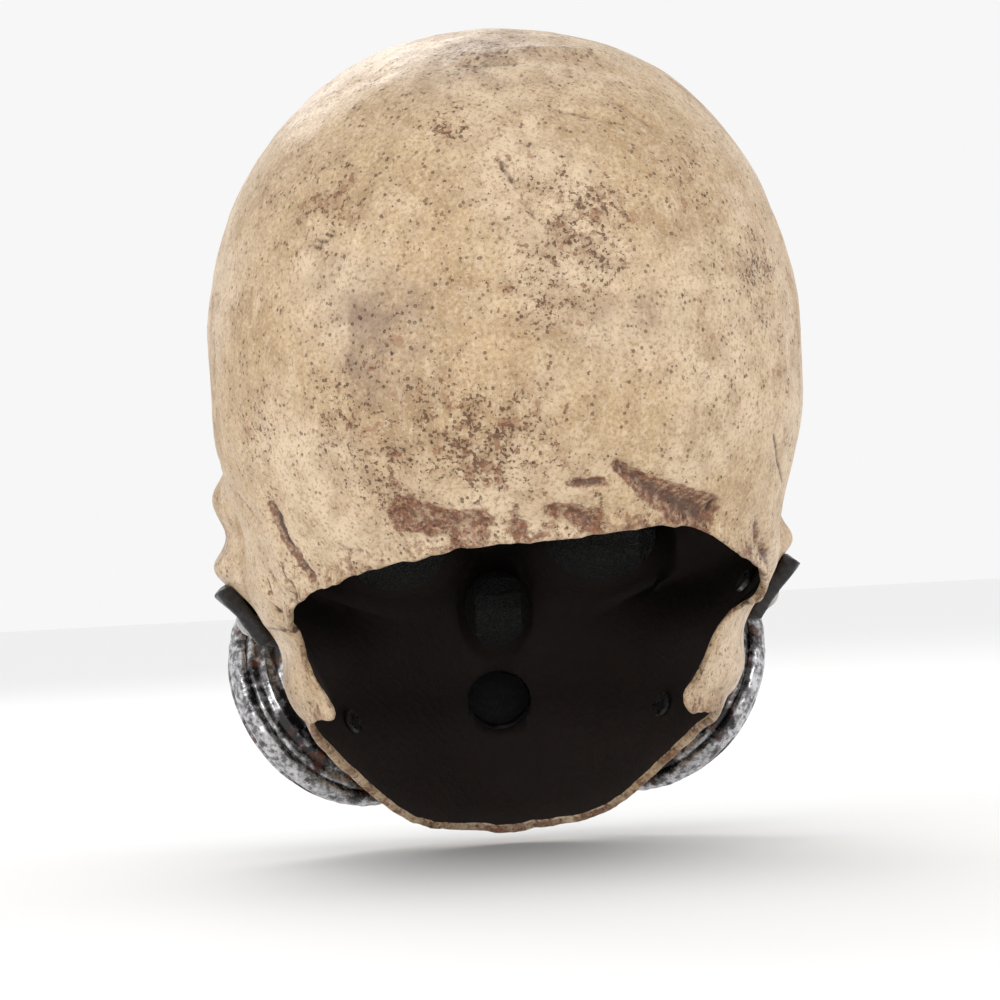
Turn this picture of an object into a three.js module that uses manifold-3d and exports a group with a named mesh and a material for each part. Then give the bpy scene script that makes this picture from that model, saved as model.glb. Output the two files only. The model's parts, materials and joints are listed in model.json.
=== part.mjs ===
// A latex skull mask that wears a twin-canister respirator. Millimetres, +Z up, the face looks along -Y and
// the wearer's left is +X. The origin is the middle of the crown pad's lower face, where the mask sits on a head.
import * as THREE from "three";
import { mergeVertices } from "three/addons/utils/BufferGeometryUtils.js";
import Module from "manifold-3d";

const wasm = await Module();
wasm.setup();

// ---- driving dimensions ----
const gap = 0.3; // left between pieces that touch
const skinWall = 3; // thickness of the cast latex
const skullTop = 118.5; // height of the crown above the widest level
const skullHalfWidth = 104;
const faceDepth = 120; // from the middle of the head to the face
const backDepth = 115; // and to the back of the head
const crownPower = 2.2; // how square the dome is
const crownLean = 7; // how far the top of the dome sits behind its middle
const equator = -30; // level where the surface net is closest to even
const chinFloor = -185; // the closed form ends here; the opening cuts it away
const crownPadDrop = 39.5; // from the crown down to the face of the pad
const crownPadWidth = 96;
const crownPadLength = 110;
const eyeHole = { x: 38, z: -60, halfWidth: 15, halfHeight: 12 };
const noseHole = { z: -86, halfWidth: 7, halfHeight: 9 };
const mouthHole = { z: -121, halfWidth: 12, halfHeight: 11 };
const screenWall = 1.2;
const screenRim = 5; // how far a screen reaches past its hole
const browPad = { spread: 34, low: -14, high: 16, thickness: 10 };
const padGap = 1.2; // between a foam pad and the faceted inside of the latex
const facepieceWall = 5;
const facepieceGap = 0.6; // between the latex and the rubber lying on it
const facepieceTurn = 60; // degrees either side of the middle
const facepieceLevels = [-134, -95];
const chinTurn = 32;
const chinLevels = [-151, -128];
const lobeWall = 6; // the lobes under the cheekbones are thicker
const lobeRootTurns = [46, 66]; // the root rises out of the facepiece, and the lobe runs back from it
const lobeRootLevels = [-99, -73];
const lobeTurns = [60, 82];
const lobeLevels = [-91, -70];
const portWall = 4;
const neckRadius = 17;
const runningGap = 0.35; // round the neck of a canister, which turns in its port
const canisterRadius = 48;
const canisterAxis = new THREE.Vector3(0.58, -0.71, -0.4).normalize();
const canisterLevel = -99.1; // where that axis meets the latex
const canisterStandoff = 36; // from there out to the plane of the rim
const canisterApart = 21.4; // from the middle of the mask to the near edge of a rim
const portReach = 22; // from the rim's plane back to the end of the port
const neckReach = 5; // how far a canister's neck goes into its port
const portRoot = 60; // how far back a port starts, inside the rubber
const gasketHeight = 2.4;
const canisterWall = 2.2;
const canisterDepth = 9; // from the rim's plane forward to the front edge
const rimWidth = 3.2;
const coverThickness = 2.4;
const coverInset = 1; // the cover sits this far behind the front edge
const hubCapRadius = 12;
const coverScrewCount = 3;
const coverScrewInset = 4.5; // from the edge of the cover to its screws
const coverRingInset = 13.5; // and to its outer ring of holes
const coverRingStep = 9.5; // and from there to the inner ring
const exhaustRadius = 22;
const exhaustBore = 12;
const exhaustLevel = -117.5; // where its axis meets the latex
const exhaustStandoff = 19.1;
const exhaustAxis = new THREE.Vector3(0, -0.94, -0.34).normalize();
const rivetRadius = 4.5;
const rivetShank = 2;
const screwRadius = 2.8;
const screwShank = 1.3;
const roundSteps = 32; // sides of a turned piece

const restLevel = skullTop - crownPadDrop; // the origin's height above the widest level
const portRadius = neckRadius + portWall;
const radians = THREE.MathUtils.degToRad;

// ---- the skull's form ----
// Sections of the head from the crown down: level, how far the side, the face and the back lie inside those sizes,
// the middle, and how round the front is.
const sections = [
  [skullTop, 0, 8, 3, 0, 2.15],
  [60, 0, 7, -1, 0, 2.15],
  [30, 0, 5, -1, 0, 2.15],
  [0, 0, 0, 0, 0, 2.15],
  [-20, 0.7, -6, 3, 0, 2.12],
  [-40, 5.5, -5, 9, -3, 2.1],
  [-58, 9.8, 1, 17, -8, 2.1],
  [-72, 10.2, 2, 31, -14, 2.05],
  [-84, 14.5, 0, 49, -19, 2],
  [-96, 20.5, -2, 67, -23, 1.95],
  [-108, 22.5, -4, 77, -25, 1.93],
  [-118, 26, -4, 83, -27, 1.9],
  [-130, 33, -1, 89, -30, 1.88],
  [-150, 42, -2, 95, -36, 1.9],
  [-168, 52, 3, 100, -42, 1.95],
  [-185, 62, 18, 105, -48, 1.95],
].map(([level, side, face, back, middle, bend]) => {
  return [level, skullHalfWidth - side, face - faceDepth, backDepth - back, middle, bend];
});

// Lumps and hollows pressed into that form: where, how big, which way it is pushed, how steep its sides are.
// Each is repeated on the wearer's right unless it is on the middle.
const dabs = [
  { name: "eye socket", at: [38, 8 - faceDepth, -60], size: [24, 60, 19], push: [0, 29, 0], steep: 2.5 },
  { name: "brow ridge", at: [34, 2 - faceDepth, -36], size: [27, 40, 9], push: [0, -7, 2], steep: 1 },
  { name: "brow end", at: [skullHalfWidth - 16, -50, -41], size: [30, 26, 15], push: [13, -2, 0], steep: 1 },
  { name: "cheekbone", at: [66, 32 - faceDepth, -78], size: [22, 40, 10], push: [7, -7, 0], steep: 1 },
  { name: "cheek arch", at: [skullHalfWidth - 18, -46, -65], size: [30, 30, 10], push: [14, -2, 0], steep: 1 },
  { name: "temple", at: [skullHalfWidth - 10, -40, -12], size: [40, 30, 22], push: [-6, 2, 0], steep: 1 },
  { name: "hollow behind the cheek", at: [skullHalfWidth - 10, -16, -56], size: [30, 12, 14], push: [-6, 0, 0], steep: 1 },
  { name: "jaw hollow", at: [70, -70, -98], size: [26, 24, 14], push: [-5, 4, 0], steep: 1 },
  { name: "jaw corner", at: [skullHalfWidth - 24, -24, -112], size: [30, 18, 14], push: [2.5, 0, 0], steep: 1 },
  { name: "nose opening", at: [0, 2 - faceDepth, -86], size: [10, 60, 14], push: [0, 20, 0], steep: 2, middle: true },
  { name: "nose bridge", at: [0, 2 - faceDepth, -64], size: [9, 60, 13], push: [0, -9, 0], steep: 1, middle: true },
  { name: "forehead hollow", at: [0, -4 - faceDepth, -18], size: [22, 60, 10], push: [0, 2.5, 0], steep: 1, middle: true },
  { name: "chin", at: [0, -2 - faceDepth, -156], size: [22, 60, 14], push: [0, -5, 0], steep: 1, middle: true },
  { name: "back of the head", at: [0, backDepth - 3, -18], size: [60, 60, 30], push: [0, 5, 0], steep: 1, middle: true },
];

// Smooth value of one column of the sections at a level.
function sectionAt(level, column) {
  const last = sections.length - 1;
  let i = 0;
  while (i < last - 1 && sections[i + 1][0] > level) i++;
  const slope = (k) => {
    const a = sections[Math.max(k - 1, 0)];
    const b = sections[Math.min(k + 1, last)];
    return (b[column] - a[column]) / (b[0] - a[0]);
  };
  const [low, high] = [sections[i], sections[i + 1]];
  const span = high[0] - low[0];
  const t = THREE.MathUtils.clamp((level - low[0]) / span, 0, 1);
  return (
    (2 * t ** 3 - 3 * t ** 2 + 1) * low[column] +
    (t ** 3 - 2 * t ** 2 + t) * span * slope(i) +
    (3 * t ** 2 - 2 * t ** 3) * high[column] +
    (t ** 3 - t ** 2) * span * slope(i + 1)
  );
}

// Level of the net at a polar angle from the crown, and how far the closed form has drawn in there.
function levelAt(polar) {
  const rise = skullTop - equator;
  if (polar <= Math.PI / 2) return { level: equator + rise * Math.cos(polar), draw: 1 };
  const level = equator - rise * (polar - Math.PI / 2);
  if (level > chinFloor) return { level, draw: 1 };
  const closing = Math.PI / 2 + (equator - chinFloor) / rise;
  return { level: chinFloor, draw: Math.max(0, (Math.PI - polar) / (Math.PI - closing)) };
}

// Point of the undented form. Turn is the angle from the front, towards the wearer's left.
function formPoint(turn, polar) {
  const { level, draw } = levelAt(polar);
  const share = Math.max(level, 0) / skullTop;
  const dome = Math.pow(Math.max(1 - Math.pow(share, crownPower), 0), 1 / crownPower) * draw;
  const middle = sectionAt(level, 4);
  const ahead = Math.cos(turn) > 0;
  const reach = ahead ? middle - sectionAt(level, 2) : sectionAt(level, 3) - middle;
  const power = ahead ? sectionAt(level, 5) : 2.15;
  const across = Math.pow(Math.abs(Math.sin(turn)) / sectionAt(level, 1), power);
  const along = Math.pow(Math.abs(Math.cos(turn)) / reach, power);
  const radius = Math.pow(across + along, -1 / power) * dome;
  return new THREE.Vector3(
    radius * Math.sin(turn),
    middle * draw - radius * Math.cos(turn) + crownLean * share ** 2,
    level,
  );
}

function dabWeight(dab, p, side) {
  const [x, y, z] = dab.at;
  const [sx, sy, sz] = dab.size;
  const far = ((p.x - side * x) / sx) ** 2 + ((p.y - y) / sy) ** 2 + ((p.z - z) / sz) ** 2;
  return Math.exp(-Math.pow(far, dab.steep));
}

function skullPoint(turn, polar) {
  const p = formPoint(turn, polar);
  const out = p.clone();
  for (const dab of dabs) {
    for (const side of dab.middle ? [1] : [1, -1]) {
      const weight = dabWeight(dab, p, side);
      out.add(new THREE.Vector3(side * dab.push[0], dab.push[1], dab.push[2]).multiplyScalar(weight));
    }
  }
  return out;
}

function skullNormal(turn, polar) {
  const step = 0.012;
  const safe = THREE.MathUtils.clamp(polar, 2 * step, Math.PI - 2 * step);
  const round = skullPoint(turn + step, safe).sub(skullPoint(turn - step, safe));
  const down = skullPoint(turn, safe + step).sub(skullPoint(turn, safe - step));
  return down.cross(round).normalize();
}

// Polar angle of a level below the equator or above it.
function polarAt(level) {
  const rise = skullTop - equator;
  return level > equator ? Math.acos((level - equator) / rise) : Math.PI / 2 + (equator - level) / rise;
}

// Middle of a rim on the wearer's left: the axis stands on the latex at the turn that keeps the rims apart.
function canisterSeat() {
  const seat = (turn) => skullPoint(turn, polarAt(canisterLevel)).addScaledVector(canisterAxis, canisterStandoff);
  const wanted = canisterApart + canisterRadius * Math.sqrt(1 - canisterAxis.x ** 2);
  let [near, far] = [0, Math.PI / 2];
  for (let i = 0; i < 40; i++) {
    const turn = (near + far) / 2;
    if (seat(turn).x < wanted) near = turn;
    else far = turn;
  }
  return seat(near);
}

const canisterCentre = canisterSeat();
const exhaustCentre = skullPoint(0, polarAt(exhaustLevel)).addScaledVector(exhaustAxis, exhaustStandoff);

// ---- solids ----
function solidOf(geometry) {
  const bare = geometry.index ? geometry.toNonIndexed() : geometry.clone();
  bare.deleteAttribute("normal");
  bare.deleteAttribute("uv");
  const merged = mergeVertices(bare, 1e-3);
  return new wasm.Manifold(
    new wasm.Mesh({
      numProp: 3,
      vertProperties: merged.attributes.position.array,
      triVerts: new Uint32Array(merged.index.array),
    }),
  );
}

function geometryOf(solid) {
  const mesh = solid.getMesh();
  const geometry = new THREE.BufferGeometry();
  const points = new Float32Array(mesh.numVert * 3);
  for (let i = 0; i < mesh.numVert; i++) {
    points.set(mesh.vertProperties.subarray(i * mesh.numProp, i * mesh.numProp + 3), i * 3);
  }
  geometry.setAttribute("position", new THREE.BufferAttribute(points, 3));
  geometry.setIndex(new THREE.BufferAttribute(mesh.triVerts, 1));
  geometry.computeVertexNormals();
  return geometry;
}

function moved(geometry, at, axis) {
  const turn = new THREE.Quaternion().setFromUnitVectors(new THREE.Vector3(0, 0, 1), axis);
  return geometry.clone().applyMatrix4(new THREE.Matrix4().compose(at, turn, new THREE.Vector3(1, 1, 1)));
}

// A turned piece round +Z from a list of [radius, height].
function turned(profile, steps = roundSteps) {
  const points = profile.map(([r, h]) => new THREE.Vector2(r, h));
  return new THREE.LatheGeometry(points, steps).rotateX(Math.PI / 2);
}

function closedLoop(profile) {
  return [...profile, profile[0]];
}

// A round bar along an axis, between two distances from a point.
function bar(radius, at, axis, from, to, steps = roundSteps) {
  const shape = turned([[0, from], [radius, from], [radius, to], [0, to]], steps);
  return solidOf(moved(shape, at, axis));
}

// An upright oval bar lying along Y, for the holes in the face.
function ovalBar(x, z, halfWidth, halfHeight, front, back) {
  const shape = new THREE.Shape().absellipse(x, z, halfWidth, halfHeight, 0, 2 * Math.PI);
  const depth = back - front;
  const block = new THREE.ExtrudeGeometry(shape, { depth, bevelEnabled: false, curveSegments: 14 });
  return solidOf(block.rotateX(Math.PI / 2).translate(0, back, 0));
}

// A closed net between two surfaces: pointAt(column, row, side) with side 0 outside and 1 inside. A net that goes
// all the way round joins its first and last columns, and its first row is one point on each side.
function netSolid(columns, rows, pointAt, round) {
  const points = [];
  const faces = [];
  const across = round ? columns : columns + 1;
  const index = (i, k, side) => {
    const column = round ? i % columns : i;
    return (side * across + column) * (rows + 1) + (round && k === 0 ? 0 : k);
  };
  for (const side of [0, 1]) {
    for (let i = 0; i < across; i++) {
      for (let k = 0; k <= rows; k++) points.push(pointAt(i, k, side));
    }
  }
  const quad = (a, b, c, d) => faces.push(a, b, c, a, c, d);
  for (let i = 0; i < columns; i++) {
    for (let k = 0; k < rows; k++) {
      const corner = (di, dk, side) => index(i + di, k + dk, side);
      if (round && k === 0) {
        faces.push(corner(0, 0, 0), corner(0, 1, 0), corner(1, 1, 0));
        faces.push(corner(0, 0, 1), corner(1, 1, 1), corner(0, 1, 1));
        continue;
      }
      quad(corner(0, 0, 0), corner(0, 1, 0), corner(1, 1, 0), corner(1, 0, 0));
      quad(corner(0, 0, 1), corner(1, 0, 1), corner(1, 1, 1), corner(0, 1, 1));
    }
    quad(index(i, rows, 0), index(i, rows, 1), index(i + 1, rows, 1), index(i + 1, rows, 0));
    if (!round) quad(index(i, 0, 0), index(i + 1, 0, 0), index(i + 1, 0, 1), index(i, 0, 1));
  }
  for (let k = 0; k < rows && !round; k++) {
    quad(index(0, k, 0), index(0, k, 1), index(0, k + 1, 1), index(0, k + 1, 0));
    quad(index(columns, k, 0), index(columns, k + 1, 0), index(columns, k + 1, 1), index(columns, k, 1));
  }
  const geometry = new THREE.BufferGeometry().setFromPoints(points);
  geometry.setIndex(faces);
  return solidOf(geometry);
}

// Point of the latex surface moved inwards along its normal.
function sunk(turn, polar, depth) {
  return skullPoint(turn, polar).addScaledVector(skullNormal(turn, polar), -depth);
}

// A piece that lies along the latex, between two depths under its outer surface.
function patch(turns, levels, depths, columns, rows) {
  return netSolid(
    columns,
    rows,
    (i, k, side) => {
      const turn = THREE.MathUtils.lerp(turns[0], turns[1], i / columns);
      const polar = THREE.MathUtils.lerp(polarAt(levels[1]), polarAt(levels[0]), k / rows);
      return sunk(radians(turn), polar, depths[side]);
    },
    false,
  );
}

// The whole closed form, moved in or out, for cutting what lies against the latex.
function formSolid(depth, columns = 96, rows = 60) {
  const pole = 0.004;
  const points = [];
  const faces = [];
  for (let k = 0; k <= rows; k++) {
    const polar = THREE.MathUtils.clamp((k / rows) * Math.PI, pole, Math.PI - pole);
    for (let i = 0; i < columns; i++) points.push(sunk(((i / columns) * 2 - 1) * Math.PI, polar, depth));
  }
  for (let k = 0; k < rows; k++) {
    for (let i = 0; i < columns; i++) {
      const j = (i + 1) % columns;
      const [a, b, c, d] = [k * columns + i, (k + 1) * columns + i, (k + 1) * columns + j, k * columns + j];
      faces.push(a, b, c, a, c, d);
    }
  }
  for (let i = 1; i < columns - 1; i++) {
    faces.push(0, i, i + 1);
    faces.push(rows * columns, rows * columns + i + 1, rows * columns + i);
  }
  const geometry = new THREE.BufferGeometry().setFromPoints(points);
  geometry.setIndex(faces);
  return solidOf(geometry);
}

// ---- the opening ----
// The edge of the latex as [turn from the front, level], down the wearer's left, round the nape and back.
const openingEdge = [
  [0, -170], [32, -163], [60, -142], [84, -128], [97, -122.5], [106, -120.5], [114, -119], [113.5, -113],
  [110.5, -105], [110, -97], [113, -90], [116, -84.5], [122, -78.5], [132, -72.5], [146, -66.5], [158, -62.5],
  [170, -59.5], [182, -58.5], [194, -57], [206, -56], [214, -58.5], [221, -62.5], [228, -67.5], [240, -73.5],
  [250, -78.5], [255, -83], [250, -87.5], [244, -92], [240.5, -99], [238, -109], [234.5, -117.5],
  [238, -123], [248, -124.5], [262, -125.5], [276, -128], [300, -142], [328, -163], [360, -170],
];
const leftCorner = [116, -84.5]; // where the jaw starts, on the wearer's left
const rightCorner = [255, -83];
const edgeStretch = 1.5; // millimetres in a degree of turn, so that columns are spaced by length
const edgeCurve = new THREE.CatmullRomCurve3(
  openingEdge.map(([turn, level]) => new THREE.Vector3(turn * edgeStretch, level, 0)),
  false,
  "centripetal",
);

// Rows are closest at the face and columns are closest at the front.
function rowShare(t) {
  const dense = 0.7;
  const amount = 0.09;
  const wave = (x) => amount * Math.sin(2 * Math.PI * (x - dense));
  return t - wave(t) + wave(0);
}

function columnShare(u) {
  const amount = 0.06;
  return u - amount * Math.sin(2 * Math.PI * u);
}

// Places along the opening, with the turn at which each column passes the corner of the nape on its way there.
function edgePlaces(columns) {
  const places = [];
  for (let i = 0; i < columns; i++) {
    const u = columnShare(i / columns);
    const p = edgeCurve.getPointAt(u);
    places.push({ turn: p.x / edgeStretch, level: p.y, even: u * 360 });
  }
  const miss = (place, [turn, level]) => Math.abs(place.turn - turn) * edgeStretch + Math.abs(place.level - level);
  const nearest = (corner) =>
    places.reduce((best, place, i) => (miss(place, corner) < miss(places[best], corner) ? i : best), 0);
  const left = nearest(leftCorner);
  const right = nearest(rightCorner);
  places.forEach((place, i) => {
    place.waist = place.turn;
    place.waistLevel = place.level;
    if (i < left) {
      place.waist = (places[left].turn * i) / left;
      place.waistLevel = Math.max(place.level, leftCorner[1]);
    }
    if (i > right) {
      place.waist = THREE.MathUtils.lerp(places[right].turn, 360, (i - right) / (columns - right));
      place.waistLevel = Math.max(place.level, rightCorner[1]);
    }
  });
  return places;
}

// The net of the skull between an outside depth and whatever the inside is to be.
function skullNet(outsideDepth, insidePoint) {
  const columns = 72;
  const rows = 22;
  const places = edgePlaces(columns);
  const pointAt = (i, k, side) => {
    const { turn: edgeTurn, level, even, waist, waistLevel } = places[i];
    const edgePolar = polarAt(level);
    const waistPolar = polarAt(waistLevel);
    const polar = edgePolar * rowShare(k / rows);
    const settle = THREE.MathUtils.smoothstep(polar, 0.1 * waistPolar, waistPolar);
    const last = THREE.MathUtils.smoothstep(polar, waistPolar, edgePolar + 1e-6);
    const turn = radians(THREE.MathUtils.lerp(even, waist, settle) + (edgeTurn - waist) * last);
    if (side === 1) return insidePoint(k === 0 ? 0 : turn, k === 0 ? 0 : polar);
    return k === 0 ? crownPoint(outsideDepth) : sunk(turn, polar, outsideDepth);
  };
  return netSolid(columns, rows, pointAt, true);
}

function crownPoint(depth) {
  return new THREE.Vector3(0, crownLean, skullTop - depth);
}

function skullShell() {
  return skullNet(0, (turn, polar) => (polar === 0 ? crownPoint(skinWall) : sunk(turn, polar, skinWall)));
}

// A thick copy of the skull, for cutting what lies on the latex.
function skullCutter(outsideDepth) {
  const heart = new THREE.Vector3(0, -20, -40);
  const inside = (turn, polar) => {
    const p = polar === 0 ? crownPoint(outsideDepth) : sunk(turn, polar, outsideDepth);
    return p.lerp(heart, 0.55);
  };
  return skullNet(outsideDepth, inside);
}

// ---- fixings ----
const rivets = [
  { name: "upper", turn: 76, level: -82, wall: lobeWall },
  { name: "lower", turn: 51, level: -126, wall: facepieceWall },
];

function rivetPlace({ turn, level }, side) {
  const angle = radians(turn) * side;
  return { at: skullPoint(angle, polarAt(level)), axis: skullNormal(angle, polarAt(level)) };
}

function rivetSolid(rivet, side) {
  const { at, axis } = rivetPlace(rivet, side);
  const head = facepieceGap + rivet.wall + 2 * gap;
  const tail = -skinWall - 3 * gap;
  const profile = [
    [0, tail - 1.4], [rivetRadius, tail - 1.4], [rivetRadius, tail], [rivetShank, tail], [rivetShank, head],
    [rivetRadius, head], [rivetRadius - 0.5, head + 1.1], [rivetRadius * 0.5, head + 2], [0, head + 2.3],
  ];
  return solidOf(moved(turned(profile, 16), at, axis));
}

function rivetHoles() {
  const holes = [];
  for (const rivet of rivets) {
    for (const side of [1, -1]) {
      const { at, axis } = rivetPlace(rivet, side);
      holes.push(bar(rivetShank + gap, at, axis, -skinWall - 8, rivet.wall + 12, 12));
    }
  }
  return holes;
}

function cutAll(solid, cuts) {
  return cuts.reduce((left, cut) => left.subtract(cut), solid);
}

// ---- the latex ----
function skullSkin() {
  const far = -200;
  const holes = [
    ovalBar(eyeHole.x, eyeHole.z, eyeHole.halfWidth, eyeHole.halfHeight, far, -50),
    ovalBar(-eyeHole.x, eyeHole.z, eyeHole.halfWidth, eyeHole.halfHeight, far, -50),
    ovalBar(0, noseHole.z, noseHole.halfWidth, noseHole.halfHeight, far, -70),
    ovalBar(0, mouthHole.z, mouthHole.halfWidth, mouthHole.halfHeight, far, -70),
  ];
  return cutAll(skullShell(), [...holes, ...rivetHoles()]);
}

// A mesh screen that lies behind a hole, a rim's width larger than it.
function screen(hole) {
  const x = hole.x ?? 0;
  const outline = ovalBar(x, hole.z, hole.halfWidth + screenRim, hole.halfHeight + screenRim, -200, -50);
  const place = Math.round(THREE.MathUtils.radToDeg(Math.atan2(x, 90)));
  const reach = [hole.z - hole.halfHeight - 2 * screenRim, hole.z + hole.halfHeight + 2 * screenRim];
  const near = skinWall + padGap;
  return patch([place - 20, place + 20], reach, [near, near + screenWall], 14, 10).intersect(outline);
}

// ---- foam pads ----
function crownPad() {
  const shape = new THREE.Shape().absellipse(0, 0, crownPadWidth / 2, crownPadLength / 2, 0, 2 * Math.PI);
  const block = new THREE.ExtrudeGeometry(shape, { depth: crownPadDrop, bevelEnabled: false, curveSegments: 16 });
  return solidOf(block.translate(0, 0, restLevel)).intersect(formSolid(skinWall + padGap, 36, 30));
}

function browPadSolid() {
  const near = skinWall + padGap;
  const reach = [browPad.low, browPad.high];
  return patch([-browPad.spread, browPad.spread], reach, [near, near + browPad.thickness], 12, 3);
}

// ---- the rubber facepiece ----
function mirrored(solid) {
  return solid.mirror([1, 0, 0]);
}

function facepiece() {
  const depths = [-facepieceGap - facepieceWall, 1];
  let solid = patch([-facepieceTurn, facepieceTurn], facepieceLevels, depths, 22, 7);
  solid = solid.add(patch([-chinTurn, chinTurn], chinLevels, depths, 12, 4));
  const lobeDepths = [-facepieceGap - lobeWall, 1];
  const root = patch(lobeRootTurns, lobeRootLevels, lobeDepths, 6, 5);
  const lobe = patch(lobeTurns, lobeLevels, lobeDepths, 6, 5).add(root);
  const port = bar(portRadius, canisterCentre, canisterAxis, -portRoot, -portReach);
  const boss = bar(exhaustRadius + 1.5, exhaustCentre, exhaustAxis, -24, -6);
  solid = solid.add(lobe).add(mirrored(lobe)).add(port).add(mirrored(port)).add(boss);
  const bore = bar(neckRadius + runningGap, canisterCentre, canisterAxis, -portReach - neckReach - 1, 0);
  const mouth = bar(exhaustBore, exhaustCentre, exhaustAxis, -40, 0);
  const seats = [
    bar(exhaustRadius + 2, exhaustCentre, exhaustAxis, -6, 20),
    bar(portRadius + 4, canisterCentre, canisterAxis, -portReach, 20),
  ];
  seats.push(mirrored(seats[1]));
  return cutAll(solid, [skullCutter(-facepieceGap), bore, mirrored(bore), mouth, ...seats, ...rivetHoles()]);
}

function exhaustPiece(profile, steps = roundSteps) {
  return solidOf(moved(turned(profile, steps), exhaustCentre, exhaustAxis));
}

function exhaustHousing() {
  const base = -6 + gap;
  return exhaustPiece(
    closedLoop([
      [exhaustBore + 0.5, base], [exhaustRadius, base], [exhaustRadius + 1, base + 4], [exhaustRadius, 5],
      [exhaustRadius - 2.6, 6], [exhaustRadius - 2.6, base + 2.6], [exhaustBore + 0.5, base + 2.6],
    ]),
  );
}

function exhaustValve() {
  const face = -6 + 2 * gap + 2.6;
  return exhaustPiece([[0, face], [16.5, face], [16.5, face + 1.2], [5, face + 1.6], [0, face + 2.4]], 24);
}

// A flat disc with rings of holes and, if asked, holes for its screws.
function piercedDisc(radius, thickness, rings, screws) {
  const outline = [];
  for (let i = 0; i < roundSteps; i++) {
    const a = (i / roundSteps) * 2 * Math.PI;
    outline.push(new THREE.Vector2(radius * Math.cos(a), radius * Math.sin(a)));
  }
  const shape = new THREE.Shape(outline);
  for (const ring of rings) {
    for (let i = 0; i < ring.count; i++) {
      const a = ((i + 0.5) / ring.count) * 2 * Math.PI;
      const hole = new THREE.Path().absarc(ring.at * Math.cos(a), ring.at * Math.sin(a), ring.radius, 0, 2 * Math.PI);
      shape.holes.push(hole);
    }
  }
  for (let i = 0; i < screws; i++) {
    const a = (i / screws) * 2 * Math.PI;
    const [x, y] = [coverScrewCircle * Math.cos(a), coverScrewCircle * Math.sin(a)];
    shape.holes.push(new THREE.Path().absarc(x, y, screwShank + gap, 0, 2 * Math.PI));
  }
  const flat = { depth: thickness, bevelEnabled: false, curveSegments: 4 };
  return new THREE.ExtrudeGeometry(shape, flat);
}

function exhaustGrille() {
  const disc = piercedDisc(exhaustRadius - 2.6 - gap, 2.4, [{ count: 5, at: 6, radius: 2 }, { count: 10, at: 13, radius: 2 }], 0);
  return solidOf(moved(disc.translate(0, 0, 1.4), exhaustCentre, exhaustAxis));
}

// ---- a canister, made for the wearer's left ----
function canisterPiece(profile, steps = roundSteps) {
  return solidOf(moved(turned(profile, steps), canisterCentre, canisterAxis));
}

const shellRadius = canisterRadius - rimWidth - gap;
const shoulder = -portReach + gasketHeight + 2 * gap;
const coverBack = canisterDepth - coverInset - coverThickness;
const coverRadius = shellRadius - canisterWall - gap;
const coverScrewCircle = coverRadius - coverScrewInset;

function canisterHousing() {
  const profile = [
    [neckRadius, -portReach - neckReach], [neckRadius, shoulder], [neckRadius + 6, shoulder],
  ];
  const steps = 3;
  const foot = neckRadius + 7;
  for (let i = 0; i <= steps; i++) {
    const r = THREE.MathUtils.lerp(foot, shellRadius - 3, i / steps);
    const h = THREE.MathUtils.lerp(shoulder + 2, -6.5, i / steps);
    profile.push([r, h]);
    if (i < steps) profile.push([r + 5, h + 0.9]);
  }
  profile.push([shellRadius, -5], [shellRadius, canisterDepth], [shellRadius - canisterWall, canisterDepth]);
  profile.push([shellRadius - canisterWall, -4], [neckRadius - 2.6, shoulder + 3.4]);
  profile.push([neckRadius - 2.6, -portReach - neckReach]);
  return canisterPiece(closedLoop(profile));
}

function canisterRim() {
  const inner = shellRadius + gap;
  return canisterPiece(
    closedLoop([
      [inner, -4], [canisterRadius - 0.9, -3.2], [canisterRadius, -1.5], [canisterRadius, 2.5],
      [canisterRadius - 0.9, 4.2], [inner, 5],
    ]),
  );
}

function canisterCover() {
  const outer = coverRadius - coverRingInset;
  const rings = [{ count: 8, at: outer - coverRingStep, radius: 2.6 }, { count: 12, at: outer, radius: 2.6 }];
  const disc = piercedDisc(coverRadius, coverThickness, rings, coverScrewCount);
  return solidOf(moved(disc.translate(0, 0, coverBack), canisterCentre, canisterAxis));
}

function canisterFilter() {
  const top = coverBack - gap;
  return canisterPiece([
    [0, shoulder + 5], [neckRadius - 1, shoulder + 5], [coverRadius - 0.5, -3], [coverRadius - 0.5, top], [0, top],
  ], 24);
}

function canisterCap() {
  const foot = coverBack + coverThickness + gap;
  return canisterPiece([
    [0, foot], [hubCapRadius, foot], [hubCapRadius, foot + 1.6], [hubCapRadius - 2, foot + 3],
    [hubCapRadius * 0.5, foot + 3.8], [0, foot + 4],
  ], 24);
}

function coverScrew(i) {
  const foot = coverBack + coverThickness + gap;
  const profile = [
    [0, coverBack + gap], [screwShank, coverBack + gap], [screwShank, foot], [screwRadius, foot],
    [screwRadius, foot + 1], [screwRadius * 0.6, foot + 1.8], [0, foot + 2],
  ];
  const a = (i / coverScrewCount) * 2 * Math.PI;
  const screw = turned(profile, 12).translate(coverScrewCircle * Math.cos(a), coverScrewCircle * Math.sin(a), 0);
  return solidOf(moved(screw, canisterCentre, canisterAxis));
}

function gasket() {
  const inner = neckRadius + runningGap;
  const back = -portReach + gap;
  return canisterPiece(
    closedLoop([[inner, back], [portRadius + 1, back], [portRadius + 1, back + gasketHeight], [inner, back + gasketHeight]]),
    24,
  );
}

// ---- assembly ----
const part = new THREE.Group();
part.position.z = -restLevel;

function add(name, solid, finish) {
  const mesh = new THREE.Mesh(geometryOf(solid), new THREE.MeshStandardMaterial(finish));
  mesh.name = name;
  part.add(mesh);
}

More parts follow.
